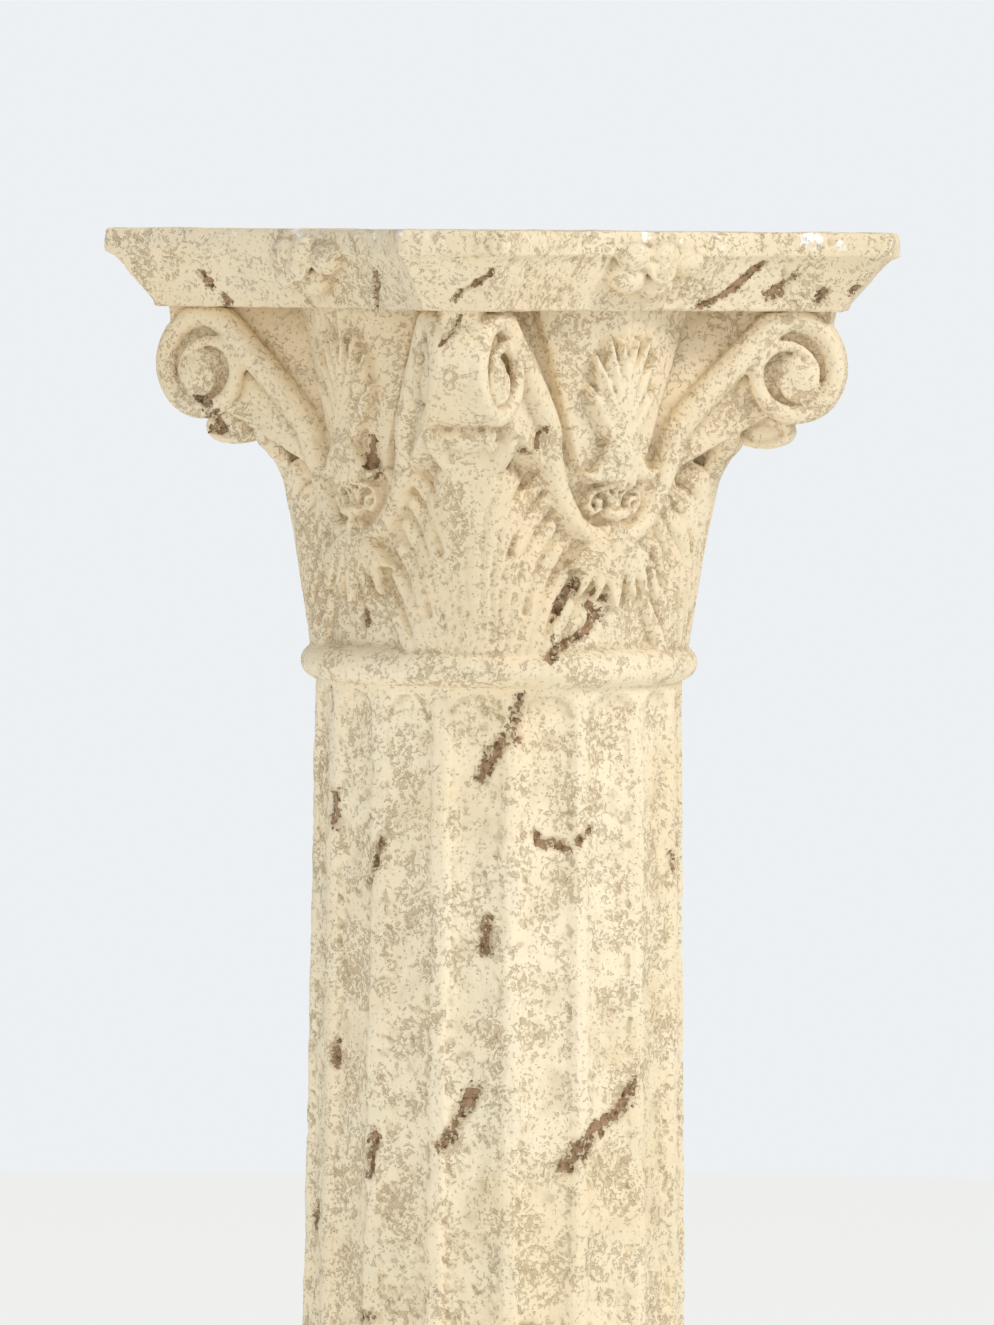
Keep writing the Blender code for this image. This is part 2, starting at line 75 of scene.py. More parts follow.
camera_data = bpy.data.cameras.new("photo_view")
camera = bpy.data.objects.new("photo_view", camera_data)
bpy.context.scene.collection.objects.link(camera)
camera_data.sensor_fit = "VERTICAL"
camera_data.sensor_height = 36.0
camera_data.lens = photo_pixels_per_metre * view_distance / photo_height * camera_data.sensor_height
camera.location = view_from
look = (aim - view_from).to_track_quat("-Z", "Y").to_matrix()
roll = Matrix.Rotation(view_roll, 3, Vector((0.0, 0.0, 1.0)))
camera.rotation_euler = (look @ roll).to_euler()
bpy.context.scene.camera = camera


# Base: a square plinth under two round mouldings with a hollow between them, of cast resin, in one
# with the shaft. It is painted matt cream over brown, dented and chipped to look like old stone.

plinth_side = 0.290
plinth_height = 0.040
plinth_edge_radius = 0.004
plinth_swell_room = 0.003
lower_torus_radius = 0.143
lower_torus_height = 0.034
upper_torus_radius = 0.123
upper_torus_height = 0.020
hollow_height = 0.016
hollow_radius = 0.112
fillet_height = 0.004
fillet_step = 0.006
foot_sweep_height = 0.014
shaft_foot_radius = 0.104
spigot_height = 0.004
spigot_step = 0.006
moulding_facets = 320
floor_press_height = 0.0014
base_voxel = 0.0021
base_triangles = 120000

pale_cream = (0.92, 0.80, 0.585, 1.0)
warm_cream = (0.88, 0.735, 0.50, 1.0)
cool_cream = (0.82, 0.74, 0.55, 1.0)
# Tan of the painted shade in creases, channels and recesses, also used for the patina on the
# capital and the stain near chips
shade_and_stain_tan = (0.50, 0.38, 0.22, 1.0)
speck_tan = (0.54, 0.37, 0.19, 1.0)
plaster_white = (0.93, 0.93, 0.90, 1.0)
chip_brown = (0.42, 0.27, 0.15, 1.0)
chip_dark = (0.15, 0.085, 0.04, 1.0)
capital_patina = 0.19
pit_depth = 0.0015


class Wire:
    """One output of a node; arithmetic on it adds Math nodes to the same tree."""

    def __init__(self, tree, socket):
        self.tree = tree
        self.socket = socket

    @staticmethod
    def node(tree, kind, settings=None, inputs=None, output=0):
        """Add a node, set its settings first, then its inputs, and return one of its outputs."""
        added = tree.nodes.new(kind)
        for name, value in (settings or {}).items():
            setattr(added, name, value)
        for key, value in (inputs or {}).items():
            if isinstance(value, Wire):
                tree.links.new(value.socket, added.inputs[key])
            else:
                added.inputs[key].default_value = value
        return Wire(tree, added.outputs[output])

    def maths(self, operation, first, second):
        settings = {"operation": operation}
        return Wire.node(self.tree, "ShaderNodeMath", settings, {0: first, 1: second})

    def __add__(self, other):
        return self.maths("ADD", self, other)

    def __radd__(self, other):
        return self.maths("ADD", other, self)

    def __sub__(self, other):
        return self.maths("SUBTRACT", self, other)

    def __rsub__(self, other):
        return self.maths("SUBTRACT", other, self)

    def __mul__(self, other):
        return self.maths("MULTIPLY", self, other)

    def __rmul__(self, other):
        return self.maths("MULTIPLY", other, self)

    def __truediv__(self, other):
        return self.maths("DIVIDE", self, other)

    def __rtruediv__(self, other):
        return self.maths("DIVIDE", other, self)

    def __pow__(self, other):
        return self.maths("POWER", self, other)

    def larger(self, other):
        return self.maths("MAXIMUM", self, other)

    def smaller(self, other):
        return self.maths("MINIMUM", self, other)

    def ramp(self, low, high):
        """Rise smoothly from 0 to 1 as this value goes from low to high."""
        settings = {"interpolation_type": "SMOOTHSTEP"}
        values = {"Value": self, "From Min": low, "From Max": high}
        return Wire.node(self.tree, "ShaderNodeMapRange", settings, values)

    def blend(self, start, end):
        """Mix two colours by this value."""
        values = {0: self, 6: start, 7: end}
        return Wire.node(self.tree, "ShaderNodeMix", {"data_type": "RGBA"}, values, 2)

    def noise(self, scale, detail=2.0, roughness=0.5, distortion=0.0):
        """Noise about 0.5 at this place, its lumps about one over the scale apart."""
        values = {"Vector": self, "Scale": scale, "Detail": detail, "Roughness": roughness}
        values["Distortion"] = distortion
        return Wire.node(self.tree, "ShaderNodeTexNoise", {}, values)


def chipped_cream():
    """Matt cream paint with brown specks in clusters, painted shade in the hollows and bare brown
    chips.
    """
    material = bpy.data.materials.new("chipped_cream")
    material.use_nodes = True
    tree = material.node_tree
    shader = tree.nodes["Principled BSDF"]
    place = Wire.node(tree, "ShaderNodeTexCoord", output="Object")

    def attribute(name):
        return Wire.node(tree, "ShaderNodeAttribute", {"attribute_name": name}, output="Fac")

    stroke = attribute("stroke")
    fine_hollow = attribute("fine_hollow")
    wide_hollow = attribute("wide_hollow")

    broken = stroke + (place.noise(110.0, 4.0, 0.7) - 0.5) * 3.8
    chip = (broken + (place.noise(380.0, 2.0) - 0.5) * 2.8).ramp(0.36, 0.48)
    near_chip = (stroke + (place.noise(90.0, 3.0) - 0.5) * 1.6).ramp(-0.5, 0.5)
    patches = place.noise(13.0, 2.0).ramp(0.18, 0.48)
    clusters = place.noise(50.0, 3.0, 0.6) + wide_hollow.smaller(1.0) * 0.02
    clusters = clusters.ramp(0.40, 0.60) * patches
    flakes = (place.noise(290.0, 3.0, 0.6, 0.4) + clusters * 0.10).ramp(0.61, 0.73)
    crumbs = (place.noise(520.0, 2.0, 0.6, 0.3) + clusters * 0.10).ramp(0.62, 0.74)
    worn = flakes.larger(crumbs * 0.8)

    cream = place.noise(9.0, 4.0, 0.6).ramp(0.36, 0.60).blend(warm_cream, pale_cream)
    cream = (place.noise(21.0, 3.0).ramp(0.52, 0.72) * 0.4).blend(cream, cool_cream)
    # Painted shade: the cream turns tan in creases, channels and recesses, the deeper in a hollow
    # the more; the tan on the capital is patina and the tan round chips is stain
    shade_and_stain = (fine_hollow.ramp(0.06, 0.45) * 0.7).larger(wide_hollow.ramp(0.1, 1.5) * 0.5)
    shade_and_stain = shade_and_stain * (place.noise(60.0, 3.0).ramp(0.25, 0.75) * 0.5 + 0.5)
    height = Wire.node(tree, "ShaderNodeSeparateXYZ", {}, {0: place}, 2)
    patina = height.ramp(column_height - 0.24, column_height - 0.20) * capital_patina
    shade_and_stain = (shade_and_stain + patina).larger(near_chip * 0.5)
    colour = shade_and_stain.blend(cream, shade_and_stain_tan)
    colour = (worn * (0.28 + clusters * 0.34)).blend(colour, speck_tan)
    plaster = place.noise(85.0, 4.0, 0.7).ramp(0.60, 0.64)
    plaster = height.ramp(column_height - 0.013, column_height - 0.005) * plaster
    colour = (plaster * 0.9).blend(colour, plaster_white)
    bare = (place.noise(240.0, 3.0, 0.65).ramp(0.46, 0.66)).blend(chip_brown, chip_dark)
    colour = chip.blend(colour, bare)
    tree.links.new(colour.socket, shader.inputs["Base Color"])

    roughness = 0.62 + place.noise(70.0, 3.0) * 0.2 + chip * 0.12
    tree.links.new(roughness.socket, shader.inputs["Roughness"])

    grain = place.noise(700.0, 3.0, 0.6) * 0.12 + place.noise(95.0, 3.0, 0.6) * 0.5
    relief = grain - worn * 0.62 - chip * (place.noise(300.0, 3.0, 0.7) * 0.7 + 0.5)
    values = {"Strength": 0.8, "Distance": pit_depth, "Height": relief}
    bump = Wire.node(tree, "ShaderNodeBump", {}, values)
    tree.links.new(bump.socket, shader.inputs["Normal"])
    return material


finish = chipped_cream()


def new_tree(name, sizes):
    """A geometry tree that takes a mesh, sizes by name and a finish, and gives a mesh."""
    tree = bpy.data.node_groups.new(name, "GeometryNodeTree")
    add = tree.interface.new_socket
    add("Geometry", in_out="INPUT", socket_type="NodeSocketGeometry")
    for label in sizes:
        add(label, in_out="INPUT", socket_type="NodeSocketFloat")
    add("Finish", in_out="INPUT", socket_type="NodeSocketMaterial")
    add("Geometry", in_out="OUTPUT", socket_type="NodeSocketGeometry")
    entry = tree.nodes.new("NodeGroupInput")
    return tree, {socket.name: Wire(tree, socket) for socket in entry.outputs if socket.name}


def end_tree(tree, geometry, material):
    """Close a tree: real geometry only, with the finish on it."""
    real = Wire.node(tree, "GeometryNodeRealizeInstances", {}, {"Geometry": geometry})
    done = Wire.node(tree, "GeometryNodeSetMaterial", {}, {"Geometry": real, "Material": material})
    leave = tree.nodes.new("NodeGroupOutput")
    tree.links.new(done.socket, leave.inputs["Geometry"])


def weathering_tree():
    """Waviness, dents and chips pressed into a skin, and how deep in a hollow each place is."""
    tree, given = new_tree("weathering", ("Swell", "Dent Depth", "Dent Spacing", "Chip Depth"))
    place = Wire.node(tree, "GeometryNodeInputPosition")
    normal = Wire.node(tree, "GeometryNodeInputNormal")
    stroke = Wire.node(tree, "GeometryNodeInputNamedAttribute", {}, {"Name": "stroke"})

    def vector_maths(operation, values, output=0):
        return Wire.node(tree, "ShaderNodeVectorMath", {"operation": operation}, values, output)

    swell = (place.noise(24.0, 2.0) - 0.5) * 2.0 * given["Swell"]
    swell = swell + (place.noise(70.0, 2.0) - 0.5) * 0.9 * given["Swell"]
    patches = place.noise(15.0, 2.0).ramp(0.30, 0.55)
    patches = patches * place.noise(42.0, 3.0, 0.6).ramp(0.42, 0.56)
    dents = place.noise(1.0 / given["Dent Spacing"], 2.0, 0.55, 0.6).ramp(0.50, 0.62) * patches
    ragged = stroke + (place.noise(110.0, 4.0, 0.7) - 0.5) * 3.8
    chips = ragged.ramp(0.30, 0.50)
    rough = place.noise(300.0, 2.0) * 0.8 + 0.6
    push = swell - dents * given["Dent Depth"] - chips * rough * given["Chip Depth"]
    offset = vector_maths("SCALE", {0: normal, "Scale": push})
    values = {"Geometry": given["Geometry"], "Offset": offset}
    geometry = Wire.node(tree, "GeometryNodeSetPosition", {}, values)
    # How deep in a hollow each place is, which the finish uses to paint shade into creases and
    # channels
    for name, rounds in (("fine_hollow", 3), ("wide_hollow", 40)):
        values = {"Value": place, "Iterations": rounds}
        settings = {"data_type": "FLOAT_VECTOR"}
        blurred = Wire.node(tree, "GeometryNodeBlurAttribute", settings, values)
        away = vector_maths("SUBTRACT", {0: blurred, 1: place})
        hollow = vector_maths("DOT_PRODUCT", {0: away, 1: normal}, 1) * 1000.0
        values = {"Geometry": geometry, "Name": name, "Value": hollow}
        geometry = Wire.node(tree, "GeometryNodeStoreNamedAttribute", {}, values)
    end_tree(tree, geometry, given["Finish"])
    return tree


weathering = weathering_tree()


def new_object(name, mesh):
    """Put a mesh in the scene."""
    thing = bpy.data.objects.new(name, mesh)
    bpy.context.scene.collection.objects.link(thing)
    return thing


def shape(name, points, faces):
    """An object from points and faces."""
    mesh = bpy.data.meshes.new(name)
    mesh.from_pydata([tuple(point) for point in points], [], faces)
    mesh.update()
    return new_object(name, mesh)


def rings_to_shape(name, rings, first_centre=None, last_centre=None):
    """A closed skin through rings of equally many points, each end closed by a fan."""
    rings = np.asarray(rings, float)
    count, around = rings.shape[:2]
    points = rings.reshape(-1, 3).tolist()
    here = np.arange(count * around).reshape(count, around)
    after = np.roll(here, -1, axis=1)
    sides = np.stack([here[:-1], after[:-1], after[1:], here[1:]], axis=-1).reshape(-1, 4)
    faces = sides.tolist()
    points.append(rings[0].mean(axis=0) if first_centre is None else first_centre)
    points.append(rings[-1].mean(axis=0) if last_centre is None else last_centre)
    first = count * around
    faces += [(int(after[0, k]), int(here[0, k]), first) for k in range(around)]
    faces += [(int(here[-1, k]), int(after[-1, k]), first + 1) for k in range(around)]
    thing = shape(name, points, faces)
    model = bmesh.new()
    model.from_mesh(thing.data)
    if model.calc_volume(signed=True) < 0.0:
        bmesh.ops.reverse_faces(model, faces=model.faces)
    model.to_mesh(thing.data)
    model.free()
    return thing


def plain_mesh(thing):
    """Turn what an object's modifiers make into its mesh, and remove them."""
    depsgraph = bpy.context.evaluated_depsgraph_get()
    made = bpy.data.meshes.new_from_object(thing.evaluated_get(depsgraph))
    thing.modifiers.clear()
    thing.data = made
    return thing


def modelled(name, model):
    """Turn a finished bmesh into an object."""
    mesh = bpy.data.meshes.new(name)
    model.to_mesh(mesh)
    model.free()
    return new_object(name, mesh)


def fuse(name, bodies, voxel):
    """Melt closed bodies that overlap into one skin, its faces one voxel wide."""
    model = bmesh.new()
    for body in bodies:
        model.from_mesh(body.data)
        bpy.data.objects.remove(body)
    fused = modelled(name, model)
    remesh = fused.modifiers.new("melt", "REMESH")
    remesh.mode = "VOXEL"
    remesh.voxel_size = voxel
    return plain_mesh(fused)


def run_tree(thing, tree, values):
    """Put an object through a geometry tree, its inputs set by name, and keep the plain mesh."""
    modifier = thing.modifiers.new(tree.name, "NODES")
    modifier.node_group = tree
    for item in tree.interface.items_tree:
        if item.in_out == "INPUT" and item.name in values:
            modifier[item.identifier] = values[item.name]
    return plain_mesh(thing)


def positions(mesh):
    """A mesh's points as an array."""
    flat = np.empty(len(mesh.vertices) * 3)
    mesh.vertices.foreach_get("co", flat)
    return flat.reshape(-1, 3)


def photo_ray(x, y):
    """Direction from the camera through a pixel of the photo."""
    focal = photo_pixels_per_metre * view_distance
    ray = Vector((x - photo_width / 2, photo_height / 2 - y, -focal))
    return (camera.rotation_euler.to_matrix() @ ray).normalized()


# Chips and veins seen in the photo: width in millimetres, then the way they run, in pixels
seen_chips = (
    (3.0, (376, 272), (376, 302)),
    (2.5, (203, 274), (209, 284)),
    (2.0, (224, 297), (228, 303)),
    (2.2, (764, 263), (745, 278), (728, 293), (697, 309)),
    (3.6, (793, 278), (780, 289), (770, 298)),
    (2.2, (824, 292), (819, 302)),
    (2.0, (852, 292), (858, 288)),
    (1.6, (492, 272), (477, 285), (462, 291), (455, 300)),
    (0.9, (461, 316), (453, 331), (440, 345), (428, 352)),
    (2.6, (200, 398), (208, 404), (215, 416), (222, 428)),
    (1.8, (216, 412), (212, 430)),
    (3.2, (371, 456), (372, 468), (377, 477)),
    (2.0, (372, 440), (371, 452)),
    (2.3, (545, 430), (537, 442), (524, 452)),
    (2.4, (556, 610), (562, 594), (576, 586), (592, 592), (602, 598)),
    (2.6, (597, 612), (590, 624), (578, 636), (562, 644), (548, 658)),
    (2.2, (588, 604), (598, 616)),
    (1.2, (552, 640), (552, 620)),
    (2.2, (366, 612), (368, 622)),
    (3.0, (519, 700), (517, 728), (500, 744), (488, 762), (482, 779)),
    (2.2, (519, 738), (503, 748)),
    (4.0, (331, 798), (334, 818)),
    (2.2, (381, 838), (375, 862), (369, 884)),
    (2.3, (537, 835), (541, 844), (553, 843), (567, 848)),
    (2.0, (577, 842), (590, 829)),
    (3.0, (487, 920), (486, 950)),
    (3.2, (477, 1090), (466, 1106), (456, 1124), (445, 1145)),
    (3.4, (630, 1086), (618, 1112), (596, 1130), (578, 1150), (562, 1168)),
    (2.4, (600, 1125), (586, 1160)),
    (2.3, (375, 1132), (368, 1172)),
    (2.0, (338, 1040), (336, 1064)),
    (2.2, (673, 855), (674, 866)),
    (3.0, (318, 1205), (316, 1222)),
    (2.8, (362, 1318), (370, 1316)),
    (2.4, (330, 692), (331, 706)),
)
# How much wider a chip is than its measured core, and what the photo's edge cuts off
stroke_spread = 1.45
photo_cut_height = 0.42
# The chips that the photo doesn't show: half length, stretch upwards, bend and half width
unseen_half_length = (0.004, 0.014)
unseen_stretch = 1.6
unseen_bend = (-0.7, 0.7)
unseen_half_width = (0.0016, 0.0034)


def mark_strokes(piece, seed, unseen_count):
    """Store how near each point is to a chip's middle line, from 1 on the line to 0 at its edge."""
    mesh = piece.data
    points = positions(mesh)
    skin = BVHTree.FromObject(piece, bpy.context.evaluated_depsgraph_get())
    near = np.full(len(points), -1.0)
    strokes = []
    for width, *way in seen_chips:
        hits = [skin.ray_cast(view_from, photo_ray(x, y))[0] for x, y in way]
        hits = [hit for hit in hits if hit is not None]
        if len(hits) == len(way):
            strokes.append((width * stroke_spread / 1000.0, hits))
    rng = np.random.default_rng(seed)
    normals = np.empty(len(points) * 3)
    mesh.vertices.foreach_get("normal", normals)
    normals = normals.reshape(-1, 3)
    outward = points @ np.array((view_from.x, view_from.y, 0.0)) / view_distance
    hidden = np.nonzero((outward < -0.02) | (points[:, 2] < photo_cut_height))[0]
    for _ in range(unseen_count):
        start = int(rng.choice(hidden))
        along = np.cross(normals[start], rng.normal(size=3))
        along = along / np.linalg.norm(along) * rng.uniform(*unseen_half_length)
        along[2] *= unseen_stretch
        bend = np.cross(normals[start], along) * rng.uniform(*unseen_bend)
        way = [points[start] - along, points[start] + bend, points[start] + along]
        width = rng.uniform(*unseen_half_width) * stroke_spread
        strokes.append((width, [Vector(spot) for spot in way]))
    for width, way in strokes:
        for start, end in zip(way, way[1:]):
            start = np.array(start)
            run = np.array(end) - start
            share = np.clip((points - start) @ run / max(run @ run, 1e-12), 0.0, 1.0)
            distance = np.linalg.norm(points - start - share[:, None] * run, axis=1)
            near = np.maximum(near, 1.0 - distance / width)
    layer = mesh.attributes.new("stroke", "FLOAT", "POINT")
    layer.data.foreach_set("value", near.astype(np.float32))


def weather(piece, wear, seed, unseen_count, triangles=None):
    """Dent and chip a piece's skin, thin it to a number of triangles, and hang it under the root.
    """
    mark_strokes(piece, seed, unseen_count)
    run_tree(piece, weathering, {**wear, "Finish": finish})
    if triangles is not None:
        thin = piece.modifiers.new("thin", "DECIMATE")
        thin.ratio = min(1.0, triangles / (2.0 * len(piece.data.polygons)))
        thin.use_collapse_triangulate = True
        plain_mesh(piece)
    piece.data.shade_smooth()
    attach(piece, "root")
    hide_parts("column")


def stand_flat(piece, below):
    """Press the skin of a piece that lies below a height flat onto the floor."""
    points = positions(piece.data)
    points[:, 2] = np.where(points[:, 2] < below, 0.0, points[:, 2])
    piece.data.vertices.foreach_set("co", points.ravel())
    piece.data.update()


def arc(centre_radius, centre_z, reach, half_height, start, end, steps=20):
    """Points of a moulding's rounded face, angles in degrees from the outward direction."""
    angles = np.radians(np.linspace(start, end, steps + 1))
    return [(centre_radius + reach * math.cos(t), centre_z + half_height * math.sin(t))
            for t in angles]


def turned_shape(name, profile, around):
    """A body turned from radii and heights, from the top down."""
    angles = np.linspace(0.0, 2 * math.pi, around, endpoint=False)
    rings = [[(r * math.cos(t), r * math.sin(t), z) for t in angles] for r, z in profile]
    return rings_to_shape(name, rings)


lower_torus_top = plinth_height + lower_torus_height
hollow_foot = lower_torus_top + fillet_height
hollow_top = hollow_foot + hollow_height
upper_torus_foot = hollow_top + fillet_height
upper_torus_top = upper_torus_foot + upper_torus_height
foot_sweep_foot = upper_torus_top + fillet_height
shaft_foot = foot_sweep_foot + foot_sweep_height


def base_profile():
    """The base mouldings from inside the shaft's foot down into the plinth."""
    sweep = upper_torus_radius - fillet_step - shaft_foot_radius
    points = [(shaft_foot_radius - spigot_step, shaft_foot + spigot_height)]
    points.append((shaft_foot_radius, shaft_foot))
    for k in range(1, 13):
        share = k / 12
        fall = math.sin(share * math.pi / 2)
        out = 1.0 - math.cos(share * math.pi / 2)
        points.append((shaft_foot_radius + sweep * out, shaft_foot - foot_sweep_height * fall))
    points.append((shaft_foot_radius + sweep, upper_torus_top))
    half = upper_torus_height / 2
    points += arc(upper_torus_radius - half, upper_torus_foot + half, half, half, 80, -80)
    upper_fillet = hollow_radius + fillet_step
    lower_fillet = lower_torus_radius - lower_torus_height / 2
    points += [(upper_fillet, upper_torus_foot), (upper_fillet, hollow_top)]
    for k in range(1, 16):
        share = k / 16
        bulge = math.sin(math.pi * share) * fillet_step
        edge = upper_fillet + (lower_fillet - upper_fillet) * share ** 2
        points.append((edge - bulge, hollow_top - hollow_height * share))
    points += [(lower_fillet, hollow_foot), (lower_fillet, lower_torus_top)]
    half = lower_torus_height / 2
    points += arc(lower_torus_radius - half, plinth_height + half - 0.001, half, half, 80, -90)
    points.append((lower_torus_radius - half, plinth_height / 2))
    return points


def soft_block(name, side, height, radius):
    """A square block standing on the floor, with rounded edges."""
    model = bmesh.new()
    bmesh.ops.create_cube(model, size=1.0)
    bmesh.ops.scale(model, vec=(side, side, height), verts=model.verts)
    bmesh.ops.translate(model, vec=(0.0, 0.0, height / 2), verts=model.verts)
    edges = model.edges[:]
    bmesh.ops.bevel(model, geom=edges, offset=radius, segments=4, profile=0.5, affect="EDGES")
    return modelled(name, model)


mouldings = turned_shape("mouldings", base_profile(), moulding_facets)
plinth_width = plinth_side - plinth_swell_room
plinth = soft_block("plinth", plinth_width, plinth_height - 0.001, plinth_edge_radius)
base = fuse("base", [mouldings, plinth], base_voxel)
wear = {"Swell": 0.0007, "Dent Depth": 0.0007, "Dent Spacing": 0.007, "Chip Depth": 0.0022}
weather(base, wear, seed=11, unseen_count=22, triangles=base_triangles)
stand_flat(base, floor_press_height)


# Shaft: a slightly tapering drum with sixteen shallow channels that end in round heads, and worn
# flat ridges between them. It is cast in one with the base and the capital, in the same painted
# resin, and is the most pitted part.

shaft_neck_radius = 0.0952
flute_count = 16
flute_depth = 0.0060
flute_ridge_width = 0.0075
flute_foot_gap = 0.016
flute_neck_gap = 0.0015
flute_head_length = 0.012
ridge_unevenness = 0.0034
shaft_overlap = 0.003
capital_height = 0.235
capital_foot = column_height - capital_height


def shaft_tree():
    """A drum bent to the shaft's taper, with the channels pressed in between worn ridges."""
    labels = ("Foot Height", "Neck Height", "Foot Radius", "Neck Radius", "Flutes", "Flute Depth")
    labels += ("Ridge Width", "Foot Gap", "Neck Gap", "Head Length")
    tree, given = new_tree("fluted_shaft", labels)
    sizes = {"Vertices": 352, "Side Segments": 250, "Fill Segments": 1, "Radius": 1.0, "Depth": 1.0}
    drum = Wire.node(tree, "GeometryNodeMeshCylinder", {"fill_type": "TRIANGLE_FAN"}, sizes)
    place = Wire.node(tree, "GeometryNodeInputPosition")
    whole_turns = 100.0  # keeps the number positive whose fraction is taken

    def part(axis):
        return Wire.node(tree, "ShaderNodeSeparateXYZ", {}, {0: place}, axis)

    across, deep, up = part(0), part(1), part(2)
    share = up + 0.5
    share = share * 1.3 - share * share * 0.3
    length = given["Neck Height"] - given["Foot Height"]
    height = given["Foot Height"] + length * share
    radius = given["Foot Radius"] + (given["Neck Radius"] - given["Foot Radius"]) * share

    spot = Wire.node(tree, "ShaderNodeCombineXYZ", {}, {0: across * 0.1, 1: deep * 0.1, 2: height})
    angle = Wire.node(tree, "ShaderNodeMath", {"operation": "ARCTAN2"}, {0: deep, 1: across})
    angle = angle + (spot.noise(30.0, 3.0) - 0.5) * 0.07 + (spot.noise(110.0, 2.0) - 0.5) * 0.05
    turns = angle * given["Flutes"] / (2 * math.pi) + 0.5 + whole_turns
    sideways = Wire.node(tree, "ShaderNodeMath", {"operation": "FRACT"}, {0: turns}) - 0.5
    pitch = radius * 2 * math.pi / given["Flutes"]
    sideways = sideways * pitch * 2.0 / (pitch - given["Ridge Width"])

    head_length = given["Head Length"]
    head = (height - (given["Neck Height"] - given["Neck Gap"] - head_length)) / head_length
    foot = (given["Foot Height"] + given["Foot Gap"] + head_length - height) / head_length
    ending = head.larger(foot).larger(0.0)
    inside = (1.0 - sideways * sideways - ending * ending).larger(0.0)
    channel = inside ** 0.5
    wear = spot.noise(38.0, 3.0).ramp(0.2, 0.8) * 0.35 + 0.75
    radius = radius - channel * given["Flute Depth"] * wear
    ridge = (spot.noise(26.0, 4.0, 0.6) - 0.5) * ridge_unevenness * (1.0 - channel)
    radius = radius + ridge
    values = {0: across * radius, 1: deep * radius, 2: height}
    skin = Wire.node(tree, "ShaderNodeCombineXYZ", {}, values)
    bent = Wire.node(tree, "GeometryNodeSetPosition", {}, {"Geometry": drum, "Position": skin})
    end_tree(tree, bent, given["Finish"])
    return tree


shaft = shape("shaft", [(0.0, 0.0, 0.0)], [])
shaft_sizes = {
    "Foot Height": shaft_foot - shaft_overlap,
    "Neck Height": capital_foot + shaft_overlap,
    "Foot Radius": shaft_foot_radius,
    "Neck Radius": shaft_neck_radius,
    "Flutes": float(flute_count),
    "Flute Depth": flute_depth,
    "Ridge Width": flute_ridge_width,
    "Foot Gap": flute_foot_gap,
    "Neck Gap": flute_neck_gap + shaft_overlap,
    "Head Length": flute_head_length,
    "Finish": finish,
}
run_tree(shaft, shaft_tree(), shaft_sizes)
wear = {"Swell": 0.0006, "Dent Depth": 0.0009, "Dent Spacing": 0.0062, "Chip Depth": 0.0024}
weather(shaft, wear, seed=23, unseen_count=26)


# Capital: a bell over a ring, with a lobed leaf up each corner, a U-shaped band on each side whose
# ends wind up into the corner volutes, and a palmette, cup, curls and pendant leaf in the middle.
# All of it is relief on the one resin casting, softened by the mould and the paint.

ring_radius = 0.1032
ring_height = 0.020
ring_sink = 0.006
bell_waist_radius = 0.0915
bell_lip_radius = 0.1055
bell_flare_power = 2.2
slab_height = 0.0405
volute_centre_distance = 0.1525
volute_centre_drop = 0.0725
volute_reach = 0.0328
volute_squash = 0.87
volute_eye_share = 0.2
volute_tightening = 1.465
volute_turns = 1.5
volute_rim_half_width = 0.0122
volute_splay = math.radians(19.0)
volute_dish_depth = 0.0050
volute_hollow_depth = 0.017
volute_hollow_run = 0.04
volute_block_reach = 0.022
volute_block_foot_share = 0.56
# The barrel's half width in millimetres at degrees turned from the top
barrel_half_width = (
    (-30, 17.0), (20, 14.5), (60, 13.6), (100, 14.6), (150, 15.6), (190, 15.0), (250, 14.0)
)
barrel_rounding = 0.165
stem_line_foot = 0.905
eye_out = 0.002
eye_down = 0.0039
eye_half_sizes = (0.0118, 0.0062, 0.0128)
coil_start = -35
coil_step = 12
coil_proud = 0.0012
# The coil on a volute's side: degrees turned from the top, the share of the full reach at which its
# outer edge lies, and its half width as a share of the full reach
coil = (
    (coil_start, 1.0, 0.235),
    (0, 1.0, 0.195),
    (90, 0.94, 0.165),
    (180, 0.84, 0.150),
    (270, 0.73, 0.120),
    (330, 0.60, 0.090),
    (390, 0.50, 0.072),
    (480, 0.43, 0.062),
    (560, 0.35, 0.056),
    (630, 0.25, 0.048),
    (715, 0.13, 0.038),
)
leaf_curl_distance = 0.1545
leaf_curl_reach = 0.0165
leaf_curl_drop = 0.0957
leaf_curl_radius = 0.0088
leaf_lip_half_width = 0.0148
curl_rim_side = 0.0122
curl_rim_half_width = 0.0023
slab_underside = column_height - slab_height
ring_top = capital_foot + ring_height
bell_height = slab_underside - ring_top
carving_radius = 0.102
capital_voxel = 0.00105
capital_triangles = 196000

# The carving is drawn in millimetres: sideways from a middle line, up from the ring, half width.
# Each stroke runs from its first place to its last and rises like a rounded cord.
leaf_lobes = (
    ((0, 96, 11.0), (0, 118, 13.0)),
    ((8, 70, 6.0), (19, 90, 6.2), (29, 101, 5.0)),
    ((12, 58, 6.0), (25, 77, 5.4), (35, 88, 4.2)),
    ((16, 44, 6.0), (27, 63, 5.4), (36.5, 75, 4.4)),
    ((20, 30, 6.0), (31, 50, 5.4), (40, 63, 4.2)),
    ((24, 16, 6.0), (35, 38, 5.4), (44, 51, 4.2)),
    ((29, 4, 6.0), (39, 25, 5.2), (48, 38, 4.0)),
    ((34, -8, 6.0), (44, 10, 5.0), (52.5, 24, 3.8)),
)
leaf_body = ((-6, 41.0), (15, 37.0), (35, 31.0), (55, 24.5), (75, 17.0), (92, 12.0), (124, 14.0))
